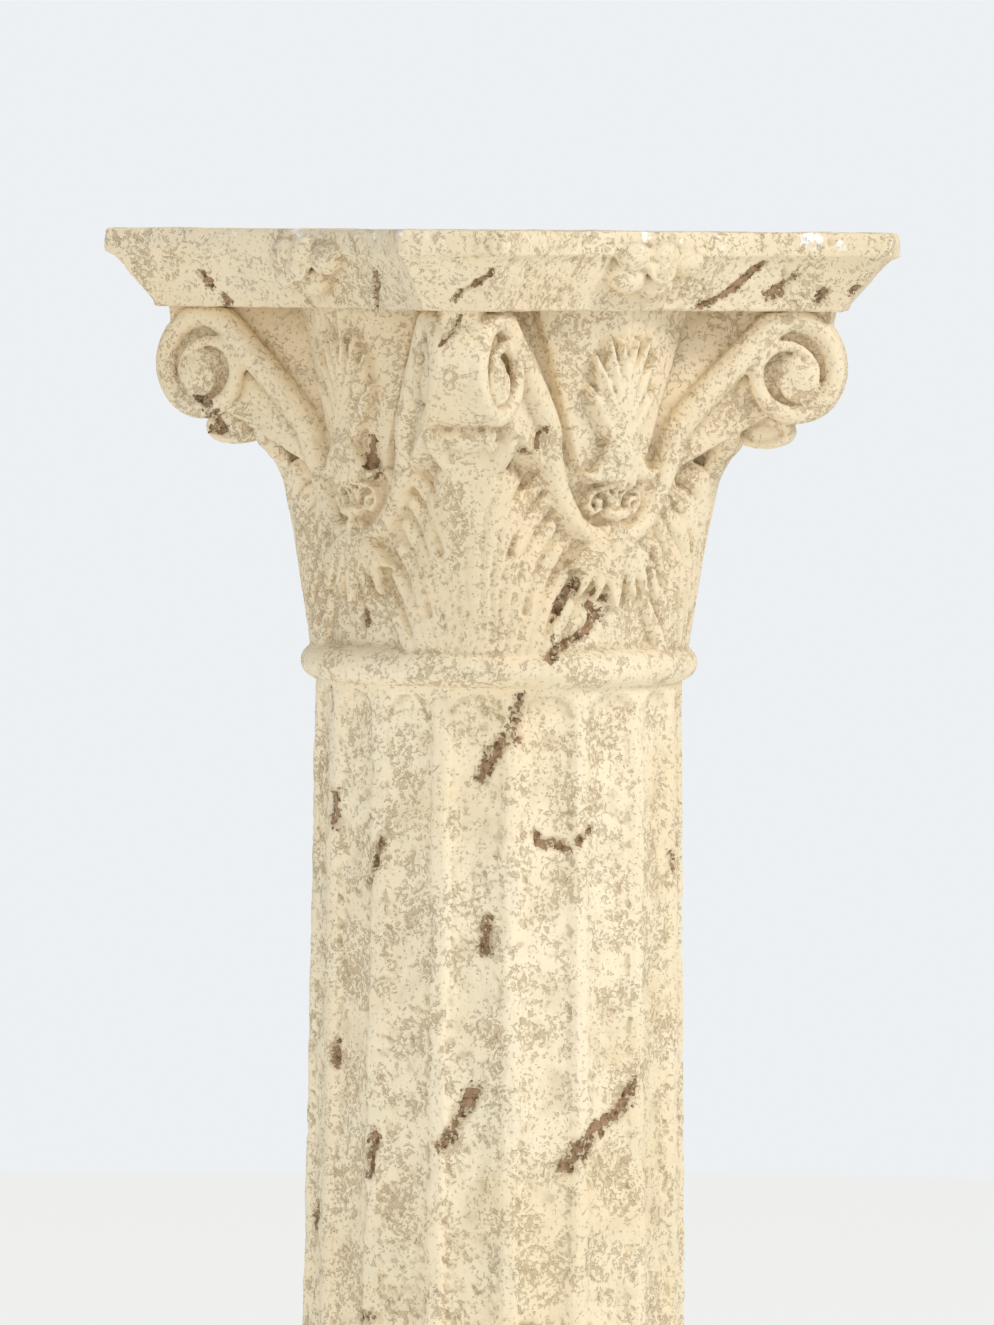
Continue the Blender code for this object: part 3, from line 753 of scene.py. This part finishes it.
leaf_grooves = (
    ((3.6, 10, 1.0), (4.0, 50, 1.1), (6.0, 70, 1.1), (12, 84, 1.2), (17, 97, 1.7)),
    ((7.6, 4, 1.0), (9.0, 42, 1.1), (13, 62, 1.1), (22, 80, 1.2), (31, 91, 1.7)),
    ((11, 0, 1.0), (13, 30, 1.1), (18, 52, 1.1), (27, 70, 1.2), (35, 80, 1.7)),
    ((15.5, -4, 1.0), (18, 20, 1.1), (23, 42, 1.1), (31, 59, 1.2), (38, 68, 1.7)),
    ((20.5, -4, 1.0), (24, 12, 1.1), (29, 32, 1.1), (36, 48, 1.2), (42, 56, 1.7)),
    ((26, -4, 1.0), (29, 6, 1.1), (35, 24, 1.2), (44, 39, 1.7)),
    ((31, -6, 1.0), (38, 8, 1.1), (48, 25, 1.6)),
)
leaf_lines = (
    ((16, 84, 0.7), (27, 98, 1.0)),
    ((20, 70, 0.7), (33, 85, 0.9)),
    ((23, 56, 0.7), (34, 72, 0.9)),
    ((27, 42, 0.7), (38, 61, 0.9)),
    ((31, 29, 0.7), (41.5, 49, 0.9)),
    ((36, 17, 0.7), (45.5, 36, 0.9)),
)
leaf_eyes = (
    ((20.5, 60, 1.0), (18.4, 54, 1.7), (18, 50, 2.5)),
    ((28.5, 31, 1.0), (26.6, 25, 1.7), (26, 20, 2.5)),
)
# Height over the ring, then how far the leaf stands off the bell, and how far its crown reaches out
leaf_thickness = (
    (0, 6.6), (23, 10.3), (55, 14.6), (84, 18.6), (98, 24.0), (107, 26.5), (113, 23.5), (119, 10.0),
    (124, 4.0),
)
leaf_crown = ((0, 50.0), (30, 42.0), (60, 32.0), (84, 26.0), (94, 20.0), (120, 18.0))
# The oval finger beside a leaf's tip: distance from the axis, sideways, height over the ring, half
# width
leaf_finger = (
    (110.0, 11.5, 92.0, 3.6), (117.0, 15.5, 102.0, 6.0), (121.0, 19.0, 109.0, 6.2),
    (122.5, 22.0, 115.0, 3.8),
)
palmette = (
    ((0, 108, 7.0), (0, 118, 10.5), (0, 132, 8.5), (0, 146, 1.5)),
    ((5, 109, 4.5), (12, 121, 5.0), (22, 135, 0.8)),
    ((5, 118, 4.5), (12.5, 135, 4.6), (20, 151, 0.8)),
    ((3, 126, 4.0), (8.5, 144, 4.0), (13, 161, 0.8)),
    ((1, 134, 3.0), (2.5, 148, 2.8), (4.5, 158, 0.8)),
)
palmette_lines = (
    ((7.5, 114, 0.7), (10.5, 126, 1.3), (17, 141, 2.2)),
    ((5.0, 124, 0.7), (8.5, 138, 1.3), (13.5, 153, 2.2)),
    ((2.6, 136, 0.7), (4.8, 148, 1.2), (7.5, 158, 1.8)),
)
palmette_stem = (((0, 144, 2.4), (0, 182, 1.8)),)
cup = (
    ((0, 102, 8.0), (0, 92, 9.0)),
    ((5, 100, 6.0), (12, 91, 5.5)),
    ((11, 91, 5.0), (18, 88, 3.2), (23.5, 91, 1.2)),
    ((6, 88, 3.2), (6.5, 84.5, 2.4)),
    ((0, 87, 3.0), (0, 83, 2.2)),
)
curls = (
    ((1.6, 70, 1.6), (3.6, 79, 1.7), (9.5, 83, 1.8), (16, 80.5, 1.9), (18, 75, 1.9),
     (14.5, 70.5, 1.9), (10, 72, 1.8), (10, 76.5, 1.7), (13, 76.8, 1.6)),
    ((0, 86, 1.6), (0, 70, 2.2)),
)
collar = (((0, 69.5, 3.6), (5.2, 69.8, 3.4)),)
pendant = (
    ((0, 64, 2.2), (0, 50, 7.5), (0, 36, 6.4), (0, 20, 0.9)),
    ((1.5, 58, 3.0), (11, 51, 6.4), (20, 46, 5.6), (30, 42, 0.9)),
    ((12, 47, 6.4), (20, 36, 4.4), (24.5, 28, 0.8)),
    ((5, 46, 5.5), (10, 35, 4.4), (14, 25, 0.8)),
)
pendant_veins = (
    ((0.4, 62, 0.7), (4.2, 48, 1.1), (6.2, 34, 1.5)),
    ((4, 57, 0.7), (14, 43, 1.1), (17.5, 33, 1.4)),
    ((0, 46, 0.6), (0, 28, 0.9)),
)
panel_edge = (((23.5, 88, 1.0), (54.0, 171, 1.3)),)
# What stands on the middle of a side, from the back to the front: how far off the bell it starts,
# and how much its middle rises over that
side_carving = (
    (palmette, 1.8, 4.6),
    (palmette_stem, 0.6, 1.6),
    (curls, -0.6, 3.6),
    (cup, 4.4, 5.0),
    (collar, 2.5, 4.6),
    (pendant, 2.8, 4.2),
)
panel_depth = 6.5
panel_edge_height = 1.3
curl_hollow_depth = 2.6
palmette_line_depth = 2.0
pendant_vein_depth = 1.1
lobe_height = 2.8
groove_depth = 1.7
line_depth = 0.8
leaf_eye_depth = 3.0


def steps_between(value, stops):
    """Read an amount between stops that pair a place with an amount."""
    places, amounts = zip(*stops)
    return np.interp(value, places, amounts)


def stroke_rise(sideways, up, strokes):
    """How near each place is to a stroke's middle line: 1 on the line, 0 or less outside it."""
    best = np.full(np.shape(sideways), -9.0)
    for stroke in strokes:
        for (u0, h0, r0), (u1, h1, r1) in zip(stroke, stroke[1:]):
            run_u, run_h = u1 - u0, h1 - h0
            share = ((sideways - u0) * run_u + (up - h0) * run_h) / (run_u ** 2 + run_h ** 2)
            share = np.clip(share, 0.0, 1.0)
            away = np.hypot(sideways - u0 - share * run_u, up - h0 - share * run_h)
            best = np.maximum(best, 1.0 - away / (r0 + (r1 - r0) * share))
    return best


def rounded(rise):
    """A half-round section from the distance inside a stroke."""
    inside = np.clip(rise, 0.0, 1.0)
    return np.sqrt(1.0 - (1.0 - inside) ** 2)


def edge_of(rise, softness=0.22):
    """0 outside a stroke and 1 inside it, with a short steep edge."""
    share = np.clip(rise / softness, 0.0, 1.0)
    return share * share * (3.0 - 2.0 * share)


def bell_radius(z):
    """Radius of the bare bell, narrow over the ring and flaring to its lip under the slab."""
    share = np.clip((z - ring_top) / bell_height, 0.0, 1.0)
    return bell_waist_radius + (bell_lip_radius - bell_waist_radius) * share ** bell_flare_power


def carved_radius(angle, z):
    """Radius of the carved bell and its ring at an angle and a height."""
    # The hand that cut the mould wandered by up to half a millimetre
    wander = 0.6 * np.sin(angle * 7.0 + z * 90.0) + 0.5 * np.sin(angle * 12.0 - z * 150.0 + 1.3)
    side_angle = np.abs((angle + math.pi / 4) % (math.pi / 2) - math.pi / 4)
    corner_angle = np.abs(math.pi / 4 - side_angle)
    sideways = np.abs(side_angle * carving_radius * 1000.0 + 0.5 * wander)
    corner = np.abs(corner_angle * carving_radius * 1000.0 + 0.5 * wander)
    up = (z - ring_top) * 1000.0 + 0.5 * wander
    height = np.zeros_like(angle)

    def rolled(across, strokes):
        return rounded(stroke_rise(across, up, strokes))

    # The bell falls back beside the middle panel of a side, which has a raised edge
    edge = steps_between(up, ((90, 22.5), (172, 49.0)))
    beyond = np.clip((sideways - edge) / 2.5, 0.0, 1.0) * np.clip((up - 88.0) / 10.0, 0.0, 1.0)
    height -= panel_depth * beyond
    height += panel_edge_height * rolled(sideways, panel_edge)

    # The hollow in which the two curls lie
    hollow = np.clip((27.0 - sideways) / 6.0, 0.0, 1.0) * np.clip((up - 62.0) / 4.0, 0.0, 1.0)
    height -= curl_hollow_depth * hollow * np.clip((90.0 - up) / 5.0, 0.0, 1.0)

    for strokes, low, high in side_carving:
        rise = stroke_rise(sideways, up, strokes)
        body = low + high * rounded(rise)
        height = height + np.clip(body - height, 0.0, None) * edge_of(rise)
    height -= palmette_line_depth * rolled(sideways, palmette_lines)
    height -= pendant_vein_depth * rolled(sideways, pendant_veins)

    # The corner leaf, thickest over the corner, with its lobes and grooves
    lobes = stroke_rise(corner, up, leaf_lobes)
    thick = steps_between(up, leaf_thickness)
    reach = steps_between(up, leaf_crown)
    squareness = 2.0 + np.clip((up - 70.0) / 13.0, 0.0, 2.0)
    crown = np.clip(1.0 - (corner / reach) ** squareness, 0.0, 1.0)
    thickness = np.minimum(thick, 2.6 + (thick - 2.6) * crown)
    body = (steps_between(up, leaf_body) - corner) / 6.0
    bulge = np.maximum(rounded(lobes), 0.75 * edge_of(body, 0.6))
    skin = thickness - 1.2 + lobe_height * bulge
    skin -= groove_depth * rolled(corner, leaf_grooves)
    skin -= line_depth * rolled(corner, leaf_lines)
    skin -= leaf_eye_depth * rolled(corner, leaf_eyes)
    leaf = np.maximum(edge_of(lobes, 0.2), edge_of(body, 0.4))
    leaf = leaf * np.clip((124.0 - up) / 4.0, 0.0, 1.0)
    height = height + np.clip(skin - height, 0.0, None) * leaf

    # The ring under the bell, rounded, and the short neck that goes into the shaft
    radius = bell_radius(z) + height / 1000.0
    ring_centre = shaft_neck_radius - ring_sink
    ring_middle = capital_foot + ring_height / 2
    lift = np.clip(1.0 - ((z - ring_middle) / (ring_height / 2)) ** 2, 0.0, 1.0)
    ring = ring_centre + (ring_radius - ring_centre) * lift ** 0.42
    radius = np.where(z < ring_top, np.maximum(ring, radius), radius)
    radius = np.where(z < ring_top - 0.0012, ring, radius)
    return np.maximum(radius, np.where(z < capital_foot, shaft_neck_radius - 0.004, 0.02))


def carved_bell():
    """The carved bell as a closed skin, a point every three quarters of a millimetre."""
    around = 860
    rows = 262
    angles = np.linspace(0.0, 2 * math.pi, around, endpoint=False)
    heights = np.linspace(capital_foot - 0.002, slab_underside + 0.004, rows)
    angle, z = np.meshgrid(angles, heights)
    radius = carved_radius(angle, z)
    rings = np.stack([radius * np.cos(angle), radius * np.sin(angle), z], axis=-1)
    return rings_to_shape("bell", rings)


def from_axis(angle, distance, sideways, z):
    """Point at a distance from the axis along a plan direction, with an offset sideways to it."""
    forward = Vector((math.cos(angle), math.sin(angle), 0.0))
    side = Vector((-math.sin(angle), math.cos(angle), 0.0))
    return forward * distance + side * sideways + Vector((0.0, 0.0, z))


def spiral_radius(turned):
    """Distance of the volute's outer edge from its centre, after turning from the top."""
    wound = max(turned, 0.0) / (2 * math.pi * volute_turns)
    return volute_reach * (1.0 - (1.0 - volute_eye_share) * wound ** volute_tightening)


def spiral_point(turned, share=1.0):
    """Distance from the axis and height of a point of the spiral, turning outwards from the top."""
    reach = spiral_radius(turned) * share
    distance = volute_centre_distance + reach * volute_squash * math.sin(turned)
    return distance, column_height - volute_centre_drop + reach * math.cos(turned)


def volute_half_width(distance):
    """Half the volute's thickness, growing from the rim towards the bell."""
    rim = spiral_point(math.pi / 2)[0]
    return volute_rim_half_width + (rim - distance) * math.tan(volute_splay)


def volute_block(angle):
    """The body between a corner's two spirals, its sides sunk below the rim."""
    top = slab_underside + 0.003
    inner = bell_waist_radius * 0.75
    low = slab_underside - bell_height * volute_block_foot_share
    outer = volute_centre_distance + volute_block_reach
    steps = np.linspace(0.0, 1.0, 7)
    outline = [(inner + (outer - inner) * share, top) for share in steps]
    outline += [spiral_point(turned, 0.90) for turned in np.radians(np.linspace(50.0, 204.0, 26))]
    outline += [(inner, low + (top - low) * share) for share in steps[:-1]]
    rings = []
    for across in np.linspace(-1.0, 1.0, 9):
        section = []
        for distance, z in outline:
            above_stem = (z - stem_line_foot) / (top - stem_line_foot)
            near_bell = (volute_centre_distance - distance) / volute_hollow_run
            hollow = min(max(above_stem, 0.0), 1.0) * min(max(near_bell, 0.0), 1.0)
            half = volute_half_width(distance) - volute_dish_depth - volute_hollow_depth * hollow
            section.append(from_axis(angle, distance, half * across, z))
        rings.append(section)
    return rings_to_shape("volute", rings)


def volute_rim(angle):
    """The barrel face between a corner's two spirals, rolled like the edge of a scroll."""
    rings = []
    for turned in np.radians(np.linspace(-30.0, 250.0, 57)):
        distance, z = spiral_point(turned, 1.0 - barrel_rounding)
        half = spiral_radius(turned) * barrel_rounding
        width = steps_between(math.degrees(turned), barrel_half_width) / 1000.0
        out = Vector((volute_squash * math.sin(turned), math.cos(turned))).normalized()
        section = []
        for t in np.linspace(0.0, 2 * math.pi, 30, endpoint=False):
            across = math.copysign(abs(math.cos(t)) ** 0.75, math.cos(t)) * width
            rise = math.copysign(abs(math.sin(t)) ** 0.9, math.sin(t)) * half
            section.append(from_axis(angle, distance + out.x * rise, across, z + out.y * rise))
        rings.append(section)
    return rings_to_shape("rim", rings)


def smooth_path(stations, steps):
    """Points on a smooth curve through the stations, which may carry a half width as well."""
    stations = np.asarray(stations, float)
    padded = np.vstack([stations[:1], stations, stations[-1:]])
    points = []
    for k in range(len(stations) - 1):
        before, start, end, after = padded[k:k + 4]
        for t in np.linspace(0.0, 1.0, steps, endpoint=False):
            bend = (2 * before - 5 * start + 4 * end - after) * t * t
            bend = bend + (3 * start - before - 3 * end + after) * t ** 3
            points.append(0.5 * (2 * start + (end - before) * t + bend))
    points.append(stations[-1])
    return np.array(points)


# A stem from the middle of a side up into the volute, in millimetres: sideways, up from the ring,
# how far its middle stands off the bell, and its half width
stem_stations = (
    (1.2, 64.5, 0.5, 1.6),
    (6.0, 60.5, 0.2, 3.6),
    (13.4, 58.8, 0.0, 4.8),
    (23.3, 63.5, -0.4, 5.8),
    (32.5, 75.5, -0.2, 6.4),
    (38.5, 88.0, 0.8, 7.0),
    (43.0, 103.0, 3.4, 7.6),
    (46.5, 118.0, 7.2, 8.0),
)


def half_band(corner_angle, side):
    """Points and half widths of a band from the middle of a side into the corner's spiral."""
    stations = []
    for sideways, up, proud, half in stem_stations:
        z = ring_top + up / 1000.0
        turned = corner_angle + side * (math.pi / 4 - sideways / 1000.0 / carving_radius)
        point = from_axis(turned, float(bell_radius(z)) + proud / 1000.0, 0.0, z)
        stations.append((*point, half / 1000.0))
    turns, shares, widths = zip(*coil)
    for turned in range(coil_start, turns[-1] + 1, coil_step):
        half = float(np.interp(turned, turns, widths)) * volute_reach
        share = float(np.interp(turned, turns, shares))
        inward = min(max((turned - 250.0) / 140.0, 0.0), 1.0)
        reach = volute_reach * share - half
        lean = math.radians(turned)
        distance = volute_centre_distance + reach * volute_squash * math.sin(lean)
        distance += eye_out * inward
        z = column_height - volute_centre_drop + reach * math.cos(lean) - eye_down * inward
        sunk = (half - coil_proud) * (1.0 - inward)
        sunk = sunk + (coil_proud + 0.0035 * share ** 2) * inward
        point = from_axis(corner_angle, distance, side * (volute_half_width(distance) - sunk), z)
        stations.append((*point, half))
    return smooth_path(stations, 4)


def band_tree():
    """A cord of round section along each path, as thick as the path says times its girth."""
    tree, given = new_tree("bands", ("Girth",))
    path = Wire.node(tree, "GeometryNodeMeshToCurve", {}, {"Mesh": given["Geometry"]})
    sizes = {"Resolution": 14, "Radius": given["Girth"]}
    ring = Wire.node(tree, "GeometryNodeCurvePrimitiveCircle", {}, sizes)
    half_width = Wire.node(tree, "GeometryNodeInputNamedAttribute", {}, {"Name": "half_width"})
    values = {"Curve": path, "Profile Curve": ring, "Scale": half_width, "Fill Caps": True}
    skin = Wire.node(tree, "GeometryNodeCurveToMesh", {}, values)
    end_tree(tree, skin, given["Finish"])
    return tree


banding = band_tree()


def cords(name, paths):
    """Round cords along paths of points with half widths."""
    points = np.vstack(paths)
    edges = []
    start = 0
    for path in paths:
        edges += [(start + k, start + k + 1) for k in range(len(path) - 1)]
        start += len(path)
    mesh = bpy.data.meshes.new(name)
    mesh.from_pydata(points[:, :3].tolist(), edges, [])
    half_width = mesh.attributes.new("half_width", "FLOAT", "POINT")
    half_width.data.foreach_set("value", points[:, 3].astype(np.float32))
    return run_tree(new_object(name, mesh), banding, {"Girth": 1.0, "Finish": finish})


def ball(name, centre, forward, half_sizes):
    """An ellipsoid whose first half size lies along a plan direction and whose last is upright."""
    model = bmesh.new()
    bmesh.ops.create_uvsphere(model, u_segments=32, v_segments=18, radius=1.0)
    side = Vector((-forward.y, forward.x, 0.0))
    up = Vector((0.0, 0.0, 1.0))
    length, width, height = half_sizes
    for vert in model.verts:
        x, y, z = vert.co
        vert.co = centre + forward * x * length + side * y * width + up * z * height
    return modelled(name, model)


def capital_bodies():
    """All that is carved on the capital below the slab."""
    bodies = [carved_bell()]
    bands = []
    for k in range(4):
        corner_angle = math.radians(45.0 + 90.0 * k)
        forward = from_axis(corner_angle, 1.0, 0.0, 0.0)
        bodies += [volute_block(corner_angle), volute_rim(corner_angle)]
        curl_middle = leaf_curl_distance - leaf_curl_reach
        curl_z = column_height - leaf_curl_drop - leaf_curl_radius
        for side in (1, -1):
            bands.append(half_band(corner_angle, side))
            distance = volute_centre_distance + eye_out
            z = column_height - volute_centre_drop - eye_down
            floor_side = volute_half_width(distance) - volute_dish_depth
            eye = from_axis(corner_angle, distance, side * floor_side, z)
            bodies.append(ball("eye", eye, forward, eye_half_sizes))
            ring = []
            for turned in np.linspace(0.0, 2 * math.pi, 29):
                out = leaf_curl_reach * 0.80 * math.cos(turned)
                z = curl_z + (leaf_curl_radius - 0.0022) * math.sin(turned)
                point = from_axis(corner_angle, curl_middle + out, side * curl_rim_side, z)
                ring.append((*point, curl_rim_half_width))
            bands.append(np.array(ring))
            finger = []
            for station in leaf_finger:
                distance, sideways, up, half = (size / 1000.0 for size in station)
                point = from_axis(corner_angle, distance, side * sideways, ring_top + up)
                finger.append((*point, half))
            bands.append(smooth_path(finger, 6))
        lip = from_axis(corner_angle, curl_middle, 0.0, curl_z)
        half_sizes = (leaf_curl_reach, leaf_lip_half_width, leaf_curl_radius)
        bodies.append(ball("leaf_lip", lip, forward, half_sizes))
    bodies.append(cords("bands", bands))
    return bodies


capital = fuse("capital", capital_bodies(), capital_voxel)
wear = {"Swell": 0.00045, "Dent Depth": 0.0006, "Dent Spacing": 0.0052, "Chip Depth": 0.0020}
weather(capital, wear, seed=37, unseen_count=18, triangles=capital_triangles)


# Abacus: the top slab, with four hollowed sides and four cut corners, a flat band over a hollow
# moulding, and a five-petalled flower on the middle of each side. It is the top of the same resin
# casting; the paint is knocked off its upper edge down to the white filler.

slab_band_height = 0.0125
slab_corner_distance = 0.2058
slab_corner_width = 0.053
slab_side_distance = 0.127
slab_edge_radius = 0.004
slab_under_corner_inset = 0.025
slab_under_corner_width = 0.036
slab_under_side_inset = 0.0136
# From the band down to the underside: the share of the way down, and the share of the inset
slab_moulding = (
    (0.0, 0.0), (0.04, 0.16), (0.16, 0.30), (0.45, 0.56), (0.72, 0.84), (0.90, 1.0), (1.0, 1.02)
)
slab_swell_room = 0.0012
slab_corner_room = 0.0008
slab_side_room = 0.0004
abacus_voxel = 0.0013
abacus_triangles = 150000
# A petal's direction in degrees, its distance from the bud, and its half width
flower_petals = (
    (200, 0.0155, 0.0115), (148, 0.0160, 0.0105), (80, 0.0115, 0.0090), (18, 0.0170, 0.0110),
    (282, 0.0105, 0.0105),
)
flower_sink = 0.001
flower_width_share = 1.15
flower_height_share = 0.72
flower_lean = 0.45
petal_half_depth = 0.0068
petal_half_height_share = 0.74
bud_half_sizes = (0.0048, 0.0048, 0.0045)
bud_proud = 0.0058
cup_rim_proud = 0.0062
cup_rim_reach = 0.0078
cup_rim_half_height = 0.0064
cup_rim_half_width = 0.0014


def slab_outline(corner_distance, corner_width, side_distance, z):
    """The slab's plan at one height: an arc along each side and a cut at each corner."""
    half_cut = corner_width / 2 / math.sqrt(2)
    corner_x = corner_distance / math.sqrt(2) + half_cut
    corner_y = corner_distance / math.sqrt(2) - half_cut
    sagitta = corner_x - side_distance
    arc_radius = (corner_y ** 2 + sagitta ** 2) / (2 * sagitta)
    half_sweep = math.asin(corner_y / arc_radius)
    points = []
    for k in range(4):
        angle = math.radians(90.0 * k)
        for sweep in np.linspace(-half_sweep, half_sweep, 61):
            distance = side_distance + arc_radius * (1.0 - math.cos(sweep))
            points.append(from_axis(angle, distance, arc_radius * math.sin(sweep), z))
        cut_start = points[-1]
        cut_end = from_axis(angle + math.pi / 2, corner_x, -corner_y, z)
        for share in np.linspace(0.0, 1.0, 12)[1:-1]:
            points.append(cut_start.lerp(cut_end, share))
    return points


def slab_body():
    """The slab lofted through its moulding, from the top down."""
    stops = []
    for turned in np.radians(np.linspace(90.0, 0.0, 7)):
        drop = slab_edge_radius * (1.0 - math.sin(turned))
        inset = slab_edge_radius * 0.6 * (1.0 - math.cos(turned))
        stops.append((drop, inset / slab_under_corner_inset))
    moulding_height = slab_height - slab_band_height
    for drop_share, inset_share in slab_moulding:
        stops.append((slab_band_height + moulding_height * drop_share, inset_share))
    rings = []
    for drop, share in stops:
        corner = slab_corner_distance - slab_under_corner_inset * share
        width = slab_corner_width + (slab_under_corner_width - slab_corner_width) * share
        side = slab_side_distance - slab_under_side_inset * share
        z = column_height - slab_swell_room - drop
        rings.append(slab_outline(corner - slab_corner_room, width, side - slab_side_room, z))
    return rings_to_shape("slab", rings)


def flower_bodies(angle):
    """Five cupped petals round a bud, leaning back with the slab's moulding."""
    forward = from_axis(angle, 1.0, 0.0, 0.0)
    middle_z = column_height - slab_height / 2
    distance = slab_side_distance - flower_sink
    bodies = []
    for turned, reach, half in flower_petals:
        sideways = reach * flower_width_share * math.cos(math.radians(turned))
        up = reach * flower_height_share * math.sin(math.radians(turned))
        centre = from_axis(angle, distance + up * flower_lean, sideways, middle_z + up)
        half_sizes = (petal_half_depth, half, half * petal_half_height_share)
        bodies.append(ball("petal", centre, forward, half_sizes))
    bud = from_axis(angle, distance + bud_proud, 0.0, middle_z)
    bodies.append(ball("bud", bud, forward, bud_half_sizes))
    circle = []
    for turned in np.linspace(0.0, 2 * math.pi, 33):
        sideways = cup_rim_reach * math.cos(turned)
        z = middle_z + cup_rim_half_height * math.sin(turned)
        point = from_axis(angle, distance + cup_rim_proud, sideways, z)
        circle.append((*point, cup_rim_half_width))
    bodies.append(cords("cup_rim", [np.array(circle)]))
    return bodies


slab_bodies = [slab_body()]
for k in range(4):
    slab_bodies += flower_bodies(math.radians(90.0 * k))
abacus = fuse("abacus", slab_bodies, abacus_voxel)
wear = {"Swell": 0.0011, "Dent Depth": 0.0009, "Dent Spacing": 0.0050, "Chip Depth": 0.0020}
weather(abacus, wear, seed=51, unseen_count=16, triangles=abacus_triangles)


# Studio: a pale round floor, an even pale surround and two large soft lamps, the stronger one high
# on the right. The floor glows faintly, so that it stays as pale far off as near the lamps.

studio_white = (0.845, 0.875, 0.895, 1.0)
studio_ambient = 0.66
floor_white = (0.93, 0.93, 0.90, 1.0)
floor_grey = (0.50, 0.50, 0.49, 1.0)
floor_glow = 0.58
floor_radius = 4.6
floor_depth = 0.0005
key_power = 39.0
fill_power = 14.0


def soft_lamp(name, place, target, size, power, colour):
    """A large square lamp turned to a point."""
    data = bpy.data.lights.new(name, "AREA")
    data.size = size
    data.energy = power
    data.color = colour
    lamp = bpy.data.objects.new(name, data)
    bpy.context.scene.collection.objects.link(lamp)
    lamp.location = place
    lamp.rotation_euler = (Vector(target) - Vector(place)).to_track_quat("-Z", "Y").to_euler()


floor_turns = np.linspace(0.0, 2 * math.pi, 128, endpoint=False)
floor_edge = [(floor_radius * math.cos(t), floor_radius * math.sin(t), -floor_depth)
              for t in floor_turns]
floor = shape("floor", floor_edge, [tuple(range(len(floor_edge)))])
floor_paint = bpy.data.materials.new("floor_paint")
floor_paint.use_nodes = True
floor_shader = floor_paint.node_tree.nodes["Principled BSDF"]
floor_shader.inputs["Base Color"].default_value = floor_grey
floor_shader.inputs["Roughness"].default_value = 0.9
floor_shader.inputs["Emission Color"].default_value = floor_white
floor_shader.inputs["Emission Strength"].default_value = floor_glow
floor.data.materials.append(floor_paint)

world = bpy.data.worlds.new("studio")
bpy.context.scene.world = world
world.use_nodes = True
surround = world.node_tree.nodes["Background"]
surround.inputs["Color"].default_value = studio_white
camera_sees = Wire.node(world.node_tree, "ShaderNodeLightPath")
brightness = camera_sees * (1.0 - studio_ambient) + studio_ambient
world.node_tree.links.new(brightness.socket, surround.inputs["Strength"])

to_camera = Vector((math.sin(view_azimuth), -math.cos(view_azimuth), 0.0))
up = Vector((0.0, 0.0, 1.0))
target = up * 0.75
key_place = to_camera * 0.8 + view_right * 2.1 + up * 2.6
fill_place = to_camera * 2.4 - view_right * 0.6 + up * 1.2
soft_lamp("key", key_place, target, 0.8, key_power, (1.0, 0.97, 0.93))
soft_lamp("fill", fill_place, target, 1.6, fill_power, (1.0, 0.98, 0.95))
bpy.context.scene.view_settings.view_transform = "Standard"
